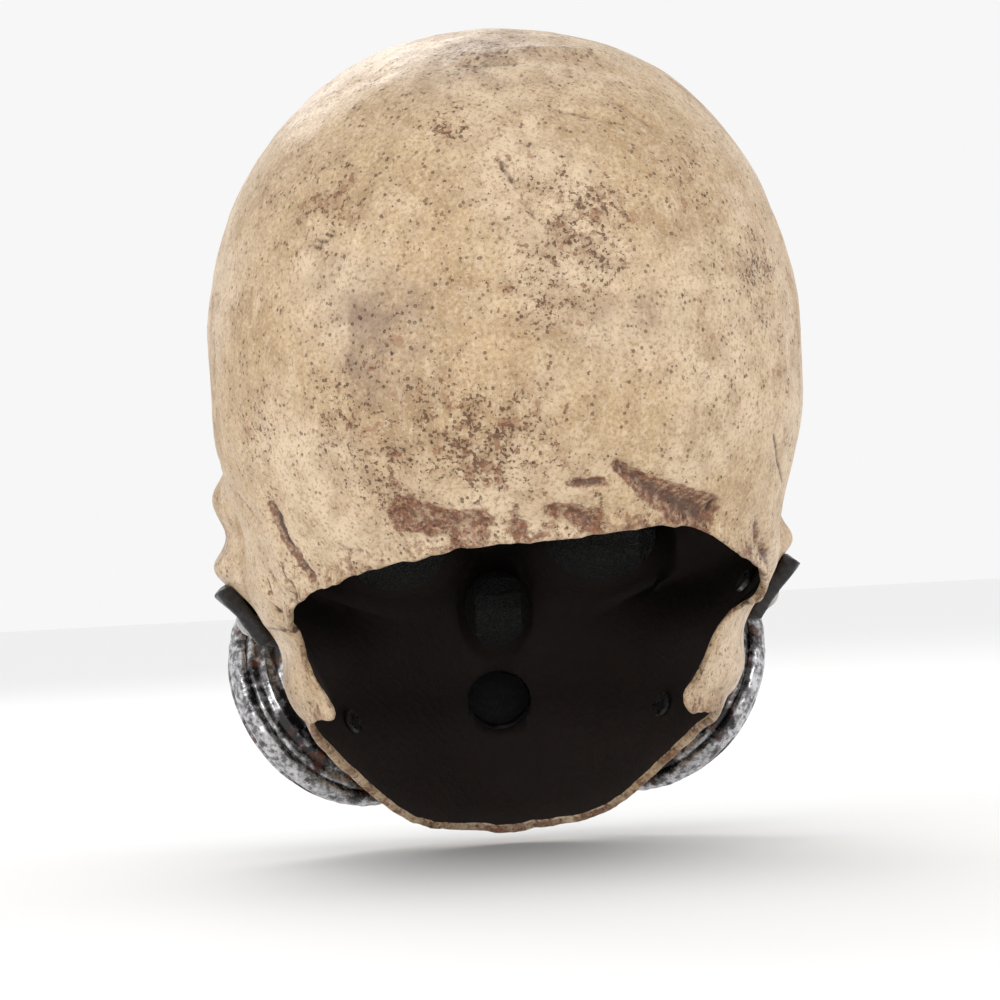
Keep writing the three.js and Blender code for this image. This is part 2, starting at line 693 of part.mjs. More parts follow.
const latex = { color: 0xe2cda8, roughness: 0.6, metalness: 0 };
const foam = { color: 0x3a3836, roughness: 0.95, metalness: 0 };
const screenBlack = { color: 0x111111, roughness: 0.9, metalness: 0 };
const rubber = { color: 0x1c1c20, roughness: 0.5, metalness: 0 };
const castSilver = { color: 0x9a9a9c, roughness: 0.35, metalness: 0.9 };
const darkSilver = { color: 0x55555a, roughness: 0.4, metalness: 0.8 };
const steel = { color: 0xb8b8bc, roughness: 0.3, metalness: 1 };

add("skull_skin", skullSkin(), latex);
add("crown_pad", crownPad(), foam);
add("brow_pad", browPadSolid(), foam);
add("nose_screen", screen(noseHole), screenBlack);
add("facepiece", facepiece(), rubber);
add("exhaust_housing", exhaustHousing(), castSilver);
add("exhaust_valve", exhaustValve(), rubber);
add("exhaust_grille", exhaustGrille(), darkSilver);

const sides = [
  { name: "left", side: 1, place: (solid) => solid },
  { name: "right", side: -1, place: mirrored },
];
for (const { name, side, place } of sides) {
  add(`eye_screen_${name}`, place(screen(eyeHole)), screenBlack);
  for (const rivet of rivets) add(`rivet_${name}_${rivet.name}`, rivetSolid(rivet, side), steel);
  add(`gasket_${name}`, place(gasket()), rubber);
  add(`canister_${name}_housing`, place(canisterHousing()), castSilver);
  add(`canister_${name}_rim`, place(canisterRim()), castSilver);
  add(`canister_${name}_filter`, place(canisterFilter()), foam);
  add(`canister_${name}_cover`, place(canisterCover()), darkSilver);
  add(`canister_${name}_cap`, place(canisterCap()), castSilver);
  for (let i = 0; i < coverScrewCount; i++) {
    add(`canister_${name}_screw_${i + 1}`, place(coverScrew(i)), steel);
  }
}

export default part;
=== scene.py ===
# Latex skull mask with a twin canister respirator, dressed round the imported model.
# Lengths in the dictionaries are millimetres in the skull's own frame: the origin is the middle of the
# widest level, +X is the wearer's left, the face looks along -Y. place() brings them to the model's frame.
import json
import math
import bmesh
import bpy
import numpy as np
from mathutils import Matrix, Vector, noise


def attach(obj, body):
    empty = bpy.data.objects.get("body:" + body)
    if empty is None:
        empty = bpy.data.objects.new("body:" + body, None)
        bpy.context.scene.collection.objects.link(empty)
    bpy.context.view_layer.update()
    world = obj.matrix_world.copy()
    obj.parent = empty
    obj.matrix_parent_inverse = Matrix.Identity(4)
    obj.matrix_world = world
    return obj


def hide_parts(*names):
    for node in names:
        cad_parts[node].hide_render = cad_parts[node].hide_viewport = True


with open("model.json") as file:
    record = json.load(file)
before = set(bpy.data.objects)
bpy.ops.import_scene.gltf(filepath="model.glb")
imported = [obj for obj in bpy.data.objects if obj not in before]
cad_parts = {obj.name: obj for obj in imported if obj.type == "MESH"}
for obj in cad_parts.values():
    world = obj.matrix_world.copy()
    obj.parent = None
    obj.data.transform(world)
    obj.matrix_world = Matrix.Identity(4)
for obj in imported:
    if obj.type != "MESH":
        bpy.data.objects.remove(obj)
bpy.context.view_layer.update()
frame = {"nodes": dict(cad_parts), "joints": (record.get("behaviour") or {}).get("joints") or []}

mm = 0.001
restLevel = 79.0  # the crown pad's face, which is the model's origin, above the widest level


def newObject(name, data):
    made = bpy.data.objects.new(name, data)
    bpy.context.scene.collection.objects.link(made)
    return made


def place(points):
    out = np.asarray(points, dtype=float).copy()
    out[..., 2] -= restLevel
    return out * mm


# camera and light
cameraSet = {"turn": 4.0, "roll": 3.0, "distance": 1.6, "level": -45.8, "lens": 163.6, "shift": -0.011}


def makeCamera():
    data = bpy.data.cameras.new("camera")
    data.lens = cameraSet["lens"]
    data.sensor_width = 36
    data.shift_x = cameraSet["shift"]
    camera = newObject("camera", data)
    turn = math.radians(cameraSet["turn"])
    level = (cameraSet["level"] - restLevel) * mm
    back = Vector((math.sin(turn), math.cos(turn), 0))
    camera.location = back * cameraSet["distance"] + Vector((0, 0, level))
    aim = back.to_track_quat("Z", "Y").to_matrix().to_4x4()
    spin = Matrix.Rotation(math.radians(-cameraSet["roll"]), 4, "Z")
    camera.matrix_world = Matrix.Translation(camera.location) @ aim @ spin
    bpy.context.scene.camera = camera


studio = {
    "floorDrop": 0.254,  # the floor lies just under the chin
    "floorColour": (0.92, 0.92, 0.92, 1),
    "worldColour": (1.0, 1.0, 1.0, 1),
    "worldStrength": 0.93,
    "lights": [
        # place, aim, width, power, colour
        ((1.15, 1.15, 0.25), (0, 0, -0.06), 0.6, 6.5, (1.0, 0.97, 0.94)),
        ((-1.2, 1.1, 0.3), (0, 0, -0.06), 0.6, 5.0, (1.0, 0.97, 0.95)),
        ((0.3, -1.3, 0.9), (0, 0, -0.1), 0.8, 6, (1.0, 0.98, 0.97)),
    ],
}


def makeStudio():
    bpy.ops.mesh.primitive_plane_add(size=8, location=(0, 0, -studio["floorDrop"]))
    floor = bpy.context.object
    floor.name = "floor"
    paint = bpy.data.materials.new("floorPaint")
    paint.use_nodes = True
    shader = paint.node_tree.nodes["Principled BSDF"]
    shader.inputs["Base Color"].default_value = studio["floorColour"]
    shader.inputs["Roughness"].default_value = 0.9
    floor.data.materials.append(paint)
    world = bpy.data.worlds.new("studio")
    world.use_nodes = True
    world.node_tree.nodes["Background"].inputs[0].default_value = studio["worldColour"]
    world.node_tree.nodes["Background"].inputs[1].default_value = studio["worldStrength"]
    bpy.context.scene.world = world
    for i, (spot, aim, width, power, colour) in enumerate(studio["lights"]):
        data = bpy.data.lights.new("softbox%d" % i, "AREA")
        data.size = width
        data.energy = power
        data.color = colour
        lamp = newObject("softbox%d" % i, data)
        lamp.location = spot
        lamp.rotation_euler = (Vector(spot) - Vector(aim)).to_track_quat("Z", "Y").to_euler()


makeCamera()
makeStudio()
bpy.context.scene.view_settings.view_transform = "Standard"
print("stage: camera and studio")

# the form of the skull
skull = {
    "top": 118.5,
    "equator": -30.0,
    "crownPower": 2.2,
    "crownLean": 7.0,
    "wall": 3.0,
    # level, half width, front, back, middle, roundness of the front
    "sections": [
        (118.5, 104, -112, 112, 0, 2.15), (60, 104, -113, 116, 0, 2.15), (30, 104, -115, 116, 0, 2.15),
        (0, 104, -120, 115, 0, 2.15), (-20, 103.3, -126, 112, 0, 2.12), (-40, 98.5, -125, 106, -3, 2.1),
        (-58, 94.2, -119, 98, -8, 2.1), (-72, 93.8, -118, 84, -14, 2.05), (-84, 89.5, -120, 66, -19, 2.0),
        (-96, 83.5, -122, 48, -23, 1.95), (-108, 81.5, -124, 38, -25, 1.93), (-118, 78, -124, 32, -27, 1.9),
        (-130, 71, -121, 26, -30, 1.88), (-150, 62, -122, 20, -36, 1.9), (-168, 52, -117, 15, -42, 1.95),
        (-185, 42, -102, 10, -48, 1.95),
    ],
    # at, size, push, steepness, 1 if it is only on the middle
    "dabs": [
        ((38, -112, -60), (24, 60, 19), (0, 29, 0), 2.5, 0),
        ((34, -118, -36), (27, 40, 9), (0, -7, 2), 1, 0),
        ((88, -50, -41), (30, 26, 15), (13, -2, 0), 1, 0),
        ((66, -88, -78), (22, 40, 10), (7, -7, 0), 1, 0),
        ((86, -46, -65), (30, 30, 10), (14, -2, 0), 1, 0),
        ((94, -40, -12), (40, 30, 22), (-6, 2, 0), 1, 0),
        ((94, -16, -56), (30, 12, 14), (-6, 0, 0), 1, 0),
        ((70, -70, -98), (26, 24, 14), (-5, 4, 0), 1, 0),
        ((80, -24, -112), (30, 18, 14), (2.5, 0, 0), 1, 0),
        ((0, -118, -86), (10, 60, 14), (0, 20, 0), 2, 1),
        ((0, -118, -64), (9, 60, 13), (0, -9, 0), 1, 1),
        ((0, -124, -18), (22, 60, 10), (0, 2.5, 0), 1, 1),
        ((0, -122, -156), (22, 60, 14), (0, -5, 0), 1, 1),
        ((0, 112, -18), (60, 60, 30), (0, 5, 0), 1, 1),
    ],
}


def sectionAt(level, column):
    table = np.array(skull["sections"])[::-1]
    heights = table[:, 0]
    values = table[:, column]
    slopes = np.empty(len(values))
    slopes[1:-1] = (values[2:] - values[:-2]) / (heights[2:] - heights[:-2])
    slopes[0] = (values[1] - values[0]) / (heights[1] - heights[0])
    slopes[-1] = (values[-1] - values[-2]) / (heights[-1] - heights[-2])
    level = np.clip(level, heights[0], heights[-1])
    i = np.clip(np.searchsorted(heights, level, side="right") - 1, 0, len(heights) - 2)
    span = heights[i + 1] - heights[i]
    t = (level - heights[i]) / span
    return (
        (2 * t**3 - 3 * t**2 + 1) * values[i]
        + (t**3 - 2 * t**2 + t) * span * slopes[i]
        + (3 * t**2 - 2 * t**3) * values[i + 1]
        + (t**3 - t**2) * span * slopes[i + 1]
    )


def formPoints(turn, polar):
    rise = skull["top"] - skull["equator"]
    under = skull["equator"] - rise * (polar - math.pi / 2)
    level = np.where(polar <= math.pi / 2, skull["equator"] + rise * np.cos(polar), under)
    share = np.maximum(level, 0) / skull["top"]
    power = skull["crownPower"]
    dome = np.maximum(1 - share**power, 0) ** (1 / power)
    middle = sectionAt(level, 4)
    ahead = np.cos(turn) > 0
    reach = np.where(ahead, middle - sectionAt(level, 2), sectionAt(level, 3) - middle)
    bend = np.where(ahead, sectionAt(level, 5), 2.15)
    across = (np.abs(np.sin(turn)) / sectionAt(level, 1)) ** bend
    along = (np.abs(np.cos(turn)) / reach) ** bend
    radius = (across + along) ** (-1 / bend) * dome
    x = radius * np.sin(turn)
    y = middle - radius * np.cos(turn) + skull["crownLean"] * share**2
    return np.stack([x, y, level], axis=-1)


def skullPoints(turn, polar):
    p = formPoints(turn, polar)
    out = p.copy()
    for at, size, push, steep, single in skull["dabs"]:
        for side in (1,) if single else (1, -1):
            far = (
                ((p[..., 0] - side * at[0]) / size[0]) ** 2
                + ((p[..., 1] - at[1]) / size[1]) ** 2
                + ((p[..., 2] - at[2]) / size[2]) ** 2
            )
            out += np.exp(-(far**steep))[..., None] * np.array([side * push[0], push[1], push[2]])
    return out


def skullNormals(turn, polar):
    step = 0.012
    safe = np.clip(polar, 2 * step, math.pi - 2 * step)
    around = skullPoints(turn + step, safe) - skullPoints(turn - step, safe)
    down = skullPoints(turn, safe + step) - skullPoints(turn, safe - step)
    normal = np.cross(down, around)
    return normal / np.linalg.norm(normal, axis=-1, keepdims=True)


def polarAt(level):
    rise = skull["top"] - skull["equator"]
    level = np.asarray(level, dtype=float)
    high = np.arccos(np.clip((level - skull["equator"]) / rise, -1, 1))
    return np.where(level > skull["equator"], high, math.pi / 2 + (skull["equator"] - level) / rise)


# the latex skin
latex = {
    "columns": 400,
    "rows": 172,
    "innerRows": 44,
    "lipRows": 6,
    "ragged": 0.45,  # how torn the edge is
    "bead": (0.9, 2.2),  # how far it stands out, and its reach from the edge
    "groove": (0.8, 6.5, 2.4),  # how deep, how far in, and its width
    "ledge": 2.6,  # how far the jaw is set in under the edge of the skull
    # turn from the front and level, down the wearer's left, round the nape and back
    "edge": [
        (0, -170), (32, -163), (60, -142), (84, -128), (97, -122.5), (106, -120.5), (114, -119),
        (113.5, -113), (110.5, -105), (110, -97), (113, -90), (116, -84.5), (122, -78.5), (132, -72.5),
        (146, -66.5), (158, -62.5), (170, -59.5), (182, -58.5), (194, -57), (206, -56), (214, -58.5),
        (221, -62.5), (228, -67.5), (240, -73.5), (250, -78.5), (255, -83), (250, -87.5), (244, -92),
        (240.5, -99), (238, -109), (234.5, -117.5), (238, -123), (248, -124.5), (262, -125.5),
        (276, -128), (300, -142), (328, -163), (360, -170),
    ],
    "leftCorner": (116, -84.5),
    "rightCorner": (255, -83),
    "edgeStretch": 1.5,
}


def edgeTable(count):
    # a centripetal spline through the edge, sampled evenly along its length
    control = np.array(latex["edge"], dtype=float) * (latex["edgeStretch"], 1)
    first = 2 * control[0] - control[1]
    last = 2 * control[-1] - control[-2]
    control = np.vstack([first, control, last])
    fine = []
    for a, b, c, d in zip(control[:-3], control[1:-2], control[2:-1], control[3:]):
        k1 = math.sqrt(np.linalg.norm(b - a))
        k2 = k1 + math.sqrt(np.linalg.norm(c - b))
        k3 = k2 + math.sqrt(np.linalg.norm(d - c))
        t = np.linspace(k1, k2, 40, endpoint=False)[:, None]
        ab = (k1 - t) / k1 * a + t / k1 * b
        bc = (k2 - t) / (k2 - k1) * b + (t - k1) / (k2 - k1) * c
        cd = (k3 - t) / (k3 - k2) * c + (t - k2) / (k3 - k2) * d
        abc = (k2 - t) / k2 * ab + t / k2 * bc
        bcd = (k3 - t) / (k3 - k1) * bc + (t - k1) / (k3 - k1) * cd
        fine.append((k2 - t) / (k2 - k1) * abc + (t - k1) / (k2 - k1) * bcd)
    fine = np.vstack(fine + [control[-2][None]])
    length = np.concatenate([[0], np.cumsum(np.linalg.norm(np.diff(fine, axis=0), axis=1))])
    wanted = np.linspace(0, length[-1], count)
    turn = np.interp(wanted, length, fine[:, 0]) / latex["edgeStretch"]
    level = np.interp(wanted, length, fine[:, 1])
    return np.radians(turn), level


def smoothstep(x, low, high):
    t = np.clip((x - low) / (high - low), 0, 1)
    return t * t * (3 - 2 * t)


def wave(points, size, seed=0.0):
    # smooth noise from -1 to 1 over an array of points, with lumps of about that size
    flat = (points.reshape(-1, 3) / size + seed).tolist()
    return np.array([noise.noise(p) for p in flat]).reshape(points.shape[:-1])


def latexNet(columns, rows):
    # every column runs from the crown to the edge, and those of the jaw go round the corner of the nape
    edgeTurn, edgeLevel = edgeTable(columns + 1)
    fine = np.linspace(0, 1, columns + 1)
    ring = np.stack([np.cos(fine * 2 * math.pi), np.sin(fine * 2 * math.pi), 0 * fine], axis=-1)
    ragged = wave(ring * 100, 7.0, 3.1) * 1.5 + wave(ring * 100, 2.6, 8.4) * 0.7
    even = np.linspace(0, 2 * math.pi, columns + 1)
    corners = [(math.radians(turn), level) for turn, level in (latex["leftCorner"], latex["rightCorner"])]
    at = []
    for turn, level in corners:
        at.append(int(np.argmin(np.abs(edgeTurn - turn) * 90 + np.abs(edgeLevel - level))))
    waist = edgeTurn.copy()
    waist[: at[0]] = np.linspace(0, edgeTurn[at[0]], at[0] + 1)[:-1]
    waist[at[1] :] = np.linspace(edgeTurn[at[1]], 2 * math.pi, columns + 1 - at[1])
    edgePolar = polarAt(edgeLevel + ragged * latex["ragged"])
    waistPolar = edgePolar.copy()
    waistPolar[: at[0]] = np.minimum(edgePolar[: at[0]], polarAt(corners[0][1]))
    waistPolar[at[1] :] = np.minimum(edgePolar[at[1] :], polarAt(corners[1][1]))
    t = np.linspace(0, 1, rows + 1)[None, :]
    t = t - 0.05 * (np.sin(2 * math.pi * (t - 0.8)) - math.sin(2 * math.pi * -0.8))
    polar = edgePolar[:, None] * t
    high = waistPolar[:, None]
    first = smoothstep(polar, 0.1 * high, high)
    second = smoothstep(polar, high, edgePolar[:, None] + 1e-6)
    turn = even[:, None] * (1 - first) + waist[:, None] * first
    return turn + (edgeTurn - waist)[:, None] * second, polar


# Marks cut or pressed into the cast, and patches of painted shade in the eye sockets, the nose and the
# temples:
# the points they run through, width at each end, depth, darkening (dirt in the cuts, painted shade in the
# hollows) and rust. A negative depth stands proud.
marksAndShade = [
    ([(-16, 89, 83), (-27, 89, 80), (-38, 86, 78)], 1.6, 1.4, 0.7, 0.6, 0.2),
    ([(-20, 86, 86), (-30, 83, 84)], 1.2, 1.2, 0.5, 0.4, 0.1),
    ([(-36, 78, 87), (-43, 80, 81), (-50, 81, 75)], 2.0, 1.6, 0.9, 0.5, 0.1),
    ([(-38, 76, 89), (-46, 78, 82)], 2.4, 1.4, -0.7, 0, 0),
    ([(5, 102, 66), (1, 106, 57), (-5, 110, 46)], 2.2, 1.4, 0.9, 0.7, 0.3),
    ([(2, 100, 68), (-3, 106, 58)], 2.2, 1.6, -0.6, 0, 0),
    ([(67, 86, 40), (60, 91, 46)], 1.3, 1.1, 0.9, 0.9, 0.2),
    ([(69, 84, 42), (62, 89, 48)], 1.2, 1.1, 0.6, 0.7, 0.2),
    ([(68, 85, 41), (61, 90, 47)], 1.0, 1.0, -0.5, 0, 0),
    ([(85, 53, -45), (81, 53, -56), (74, 54, -68)], 3.0, 2.0, 2.2, 0.9, 0.9),
    ([(90, 47, -44), (87, 45, -56), (82, 44, -66)], 3.2, 2.6, -1.2, 0, 0),
    ([(88, 27, -70), (87, 24, -77)], 1.8, 1.4, 2.2, 1, 0.5),
    ([(85, 19, -78), (84, 20, -82)], 1.8, 1.6, 2.0, 1, 0.4),
    ([(84, 33, -62), (86, 34, -74)], 2.2, 1.6, 1.0, 0.5, 0.4),
    ([(-28, 107, -36), (-37, 101, -43), (-47, 94, -49), (-58, 81, -54)], 1.4, 7.0, 2.8, 0.7, 1.0),
    ([(-30, 105, -33), (-42, 98, -39), (-55, 88, -44), (-63, 79, -47)], 1.6, 2.6, -1.6, 0, 0),
    ([(-63, 79, -50), (-62, 78, -57)], 1.4, 2.0, 2.0, 1, 0.5),
    ([(-8, 104, -50), (-19, 100, -54)], 3.2, 3.8, 1.7, 0.6, 0.9),
    ([(-12, 107, -41), (-23, 106, -42)], 1.6, 2.2, 1.4, 0.8, 0.6),
    ([(-13, 106, -44), (-24, 104, -46)], 2.0, 2.0, -0.7, 0, 0),
    ([(42, 96, -49), (30, 99, -52), (18, 101, -52)], 6.0, 4.0, 1.0, 0.5, 0.9),
    ([(64, 71, -59), (57, 77, -60)], 3.4, 2.6, 1.5, 0.8, 0.2),
    ([(80, 33, -77), (74, 48, -69), (64, 65, -65)], 1.8, 1.8, 2.2, 0.7, 0.3),
    ([(78, 34, -81), (71, 49, -73), (62, 65, -69)], 2.4, 2.4, -2.0, 0, 0),
    ([(-79, 52, -58), (-84, 36, -68), (-88, 16, -76)], 2.4, 2.8, 1.8, 0.8, 0.5),
    ([(-86, 50, -54), (-90, 36, -62), (-93, 20, -70)], 3.0, 3.0, -1.2, 0, 0),
    ([(-87, 60, -29), (-89, 50, -37), (-93, 34, -45)], 1.8, 1.4, 1.1, 0.8, 0.2),
    ([(-90, 50, -28), (-95, 33, -38)], 1.6, 1.4, 0.9, 0.7, 0.2),
    ([(101, 5, -27), (97, 20, -36), (92, 35, -46)], 1.8, 1.6, 1.2, 0.8, 0.2),
    ([(98, 10, -40), (94, 24, -50)], 1.8, 1.6, 1.1, 0.7, 0.2),
    ([(9, 62, 105), (-10, 62, 106), (-30, 61, 102)], 5.0, 4.0, -0.9, 0.3, 0.1),
    ([(14, 70, 101), (-8, 72, 101)], 3.0, 2.0, 0.6, 0.6, 0.2),
    ([(-26, 60, 104), (-36, 52, 105)], 3.0, 3.0, -1.3, 0, 0),
    # painted shade: dark patches round the eye sockets and in the nose, with nothing cut
    ([(38, -90, -60), (38, -100, -60)], 17, 19, 0, 0.62, 0.3),
    ([(-38, -90, -60), (-38, -100, -60)], 17, 19, 0, 0.62, 0.3),
    ([(0, -98, -86), (0, -112, -88)], 8, 9, 0, 0.7, 0.3),
    # painted shade in the hollows of the temples, laid as dirt and rust over a shallow groove
    ([(101, -52, -54), (98, -50, -66)], 6.5, 5.0, 0.6, 0.75, 1.0),
    ([(-101, -52, -54), (-98, -50, -66)], 5.0, 5.0, 0.6, 0.6, 0.9),
    ([(-10, 62, 105), (-20, 61, 104), (-30, 58, 103)], 3.0, 5.0, -0.7, 0.3, 0.3),
]
# Stained places, and painted shade in the nose: centre, reach, then how much speckle, smudge and rust.
stainsAndShade = [
    ((22, 92, 78), 11, 1.0, 0.0, 0.3), ((-22, 106, 48), 24, 0.9, 0.1, 0.6),
    ((-26, 110, 30), 18, 0.8, 0.2, 0.5), ((80, 55, 63), 22, 0.6, 0.1, 0.3),
    ((72, 66, 50), 16, 0.5, 0.1, 0.3), ((49, 105, 10), 20, 0.6, 0.9, 0.1),
    ((56, 99, 25), 16, 0.4, 0.6, 0.1), ((-33, 112, 13), 16, 0.5, 0.6, 0.1),
    ((60, 100, -15), 30, 0.8, 0.2, 0.2), ((25, 113, -15), 28, 0.8, 0.1, 0.2),
    ((88, 62, -20), 24, 0.7, 0.1, 0.2), ((-83, 71, 26), 24, 0.8, 0.1, 0.5),
    ((-92, 55, 0), 26, 0.5, 0.1, 0.4), ((2, 64, 104), 16, 0.4, 0.6, 0.2),
    ((-20, 62, 103), 12, 0.4, 0.4, 0.2), ((98, 20, 20), 26, 0.6, 0.2, 0.2),
    ((10, 116, 10), 20, 0.3, 0.0, 0.1), ((-60, 98, -10), 26, 0.3, 0.1, 0.1),
    ((14, 114, -26), 30, 1.0, 0.15, 0.35), ((44, 102, -38), 24, 0.9, 0.2, 0.3),
    ((6, 60, 104), 24, 0.8, 0.7, 0.5), ((-8, 112, 24), 26, 0.8, 0.2, 0.3),
    ((0, 104, 62), 24, 0.6, 0.1, 0.2), ((60, 84, 58), 30, 0.7, 0.1, 0.2),
    # the second entry on the next line is painted shade in the nose, laid as smudge, speckle and rust
    ((-60, 84, 58), 28, 0.6, 0.1, 0.2), ((0, -112, -88), 14, 0.3, 1.0, 0.6),
    ((0, -120, -10), 28, 0.5, 0.1, 0.2), ((60, -95, 30), 26, 0.6, 0.3, 0.3),
    ((-70, -85, 10), 26, 0.6, 0.4, 0.3), ((0, -118, -160), 26, 0.5, 0.5, 0.4),
    ((-30, -105, 60), 26, 0.5, 0.1, 0.3),
]
# Painted shade in the eye sockets, at the temples and under the cheekbones, laid as speckle, smudge and
# rust: centre, reach, then how much of each
hollowShade = [  # the same on both sides
    ((97, -50, -60), 13, 0.6, 1.0, 0.8), ((38, -100, -60), 22, 0.3, 1.0, 0.5),
    ((92, -50, -54), 15, 0.5, 0.9, 0.3), ((80, -40, -95), 26, 0.5, 0.8, 0.4),
]
randomMarks = {"seed": 41, "wrinkles": 60, "nicks": 26}


def lineDistance(points, line, startWidth, endWidth):
    # distance to a line of points in units of its width there
    best = np.full(points.shape[:-1], 1e9)
    steps = len(line) - 1
    for i, (a, b) in enumerate(zip(line[:-1], line[1:])):
        a, b = np.array(a, dtype=float), np.array(b, dtype=float)
        t = np.clip(((points - a) @ (b - a)) / ((b - a) @ (b - a)), 0, 1)
        width = startWidth + (endWidth - startWidth) * (i + t) / steps
        best = np.minimum(best, np.linalg.norm(points - (a + t[..., None] * (b - a)), axis=-1) / width)
    return best


def chanceMarks(rng):
    # fine wrinkles all over, and nicks that run up from the nape
    more = []
    for _ in range(randomMarks["wrinkles"]):
        turn, level = rng.uniform(60, 300), rng.uniform(-55, 105)
        slant = rng.uniform(-1, 1)
        reach = rng.uniform(4, 11)
        ends = [(turn, level), (turn + 0.35 * reach * slant, level - reach * (1 - abs(slant) * 0.5))]
        line = [tuple(skullPoints(np.radians(t), polarAt(v))) for t, v in ends]
        sign = 1 if rng.random() < 0.75 else -1
        more.append((line, 1.5, 1.1, 0.35 * sign, 0.35 if sign > 0 else 0, 0.1))
    edgeTurn, edgeLevel = edgeTable(400)
    for _ in range(randomMarks["nicks"]):
        i = rng.integers(110, 290)
        reach = rng.uniform(4, 15)
        slant = rng.uniform(-0.06, 0.06)
        ends = [(edgeTurn[i], edgeLevel[i] - 1), (edgeTurn[i] + slant, edgeLevel[i] + reach)]
        line = [tuple(skullPoints(t, polarAt(v))) for t, v in ends]
        sign = 1 if rng.random() < 0.6 else -1
        depth = rng.uniform(0.5, 1.2) * sign
        width = rng.uniform(1.6, 3.0)
        rusty = rng.uniform(0, 0.7) * (sign > 0)
        more.append((line, width, 1.0, depth, 0.5 if sign > 0 else 0, rusty))
    return more


def weather(points, turn, polar, edgeGap):
    # how far each point of the latex is moved in, and how it is painted
    depth = np.zeros(points.shape[:-1])
    dirtAndShade = np.zeros_like(depth)
    rust = np.zeros_like(depth)
    # marks, stains and patches of painted shade have ragged outlines
    sway = [wave(points, 7.0, seed) * 1.5 + wave(points, 2.4, seed + 3) * 0.9 for seed in (0.3, 11.1, 23.7)]
    sway = np.stack(sway, axis=-1)
    bent = points + sway
    chance = chanceMarks(np.random.default_rng(randomMarks["seed"]))
    for line, startWidth, endWidth, push, dirtAndShadeShare, rusty in marksAndShade + chance:
        far = lineDistance(bent if startWidth > 2 else points, line, startWidth, endWidth)
        near = np.exp(-(far**2))
        depth += push * near
        # darkening: dirt in the cuts, painted shade in the patches round the sockets, the nose and the
        # temples
        dirtAndShade = np.maximum(dirtAndShade, dirtAndShadeShare * np.exp(-((far / 0.8) ** 2)))
        rust = np.maximum(rust, rusty * np.exp(-((far / 1.15) ** 4)))
    speckle = np.full_like(depth, 0.42)
    smudgeAndShade = np.zeros_like(depth)
    # the painted shade of the hollows is copied to the other side
    mirroredHollowShade = [((-x, y, z), *rest) for (x, y, z), *rest in hollowShade]
    for at, reach, speckled, smudgedAndShaded, rusted in stainsAndShade + hollowShade + mirroredHollowShade:
        near = np.exp(-((np.linalg.norm(points + 4 * sway - np.array(at), axis=-1) / reach) ** 2))
        speckle = np.maximum(speckle, speckled * near)
        # smudge: real smudges, and painted shade in the hollows
        smudgeAndShade = np.maximum(smudgeAndShade, smudgedAndShaded * near)
        rust = np.maximum(rust, 0.45 * rusted * near)
    lumps = wave(points, 42.0, 1.7) * 0.9 + wave(points, 15.0, 5.2) * 0.4 + wave(points, 6.0, 9.9) * 0.16
    depth += lumps
    # a rolled bead along the torn edge with a groove inside it
    proud, near = latex["bead"]
    deep, inward, width = latex["groove"]
    depth -= proud * np.exp(-((edgeGap / near) ** 2)) - deep * np.exp(-(((edgeGap - inward) / width) ** 2))
    bitten = 0.5 + 0.5 * wave(points, 9.0, 2.2)
    rust = np.maximum(rust, 0.6 * np.exp(-((edgeGap / 9) ** 2)) * bitten)
    speckle = np.maximum(speckle, 0.6 * np.exp(-((edgeGap / 16) ** 2)))
    # the jaw is set in under the edge of the skull, and a line of painted shade runs along the step
    degrees, level = np.degrees(turn), points[..., 2]
    window = smoothstep(degrees, 82, 96) * (1 - smoothstep(degrees, 264, 278))
    ledge = window * smoothstep(-level, 85.5, 89.0)
    depth += latex["ledge"] * ledge
    # painted shade: a dark line along the step where the jaw goes in under the skull
    dirtAndShade = np.maximum(dirtAndShade, 0.8 * window * np.exp(-(((level + 87.5) / 1.6) ** 2)))
    return depth, np.stack([speckle, dirtAndShade, rust, smudgeAndShade], axis=-1)


def gridMesh(name, points):
    # points[i, k] are laid on a made grid, column i and row k
    columns, rows = points.shape[0] - 1, points.shape[1] - 1
    bm = bmesh.new()
    bmesh.ops.create_grid(bm, x_segments=columns, y_segments=rows, size=1)
    mesh = bpy.data.meshes.new(name)
    bm.to_mesh(mesh)
    bm.free()
    flat = np.empty(len(mesh.vertices) * 3)
    mesh.vertices.foreach_get("co", flat)
    flat = flat.reshape(-1, 3)
    i = np.rint((flat[:, 0] + 1) / 2 * columns).astype(int)
    k = np.rint((flat[:, 1] + 1) / 2 * rows).astype(int)
    mesh.vertices.foreach_set("co", place(points[i, k]).ravel())
    return mesh, i, k


def paintMesh(mesh, name, values):
    layer = mesh.attributes.new(name, "FLOAT_COLOR", "POINT")
    layer.data.foreach_set("color", np.asarray(values, dtype=np.float32).ravel())


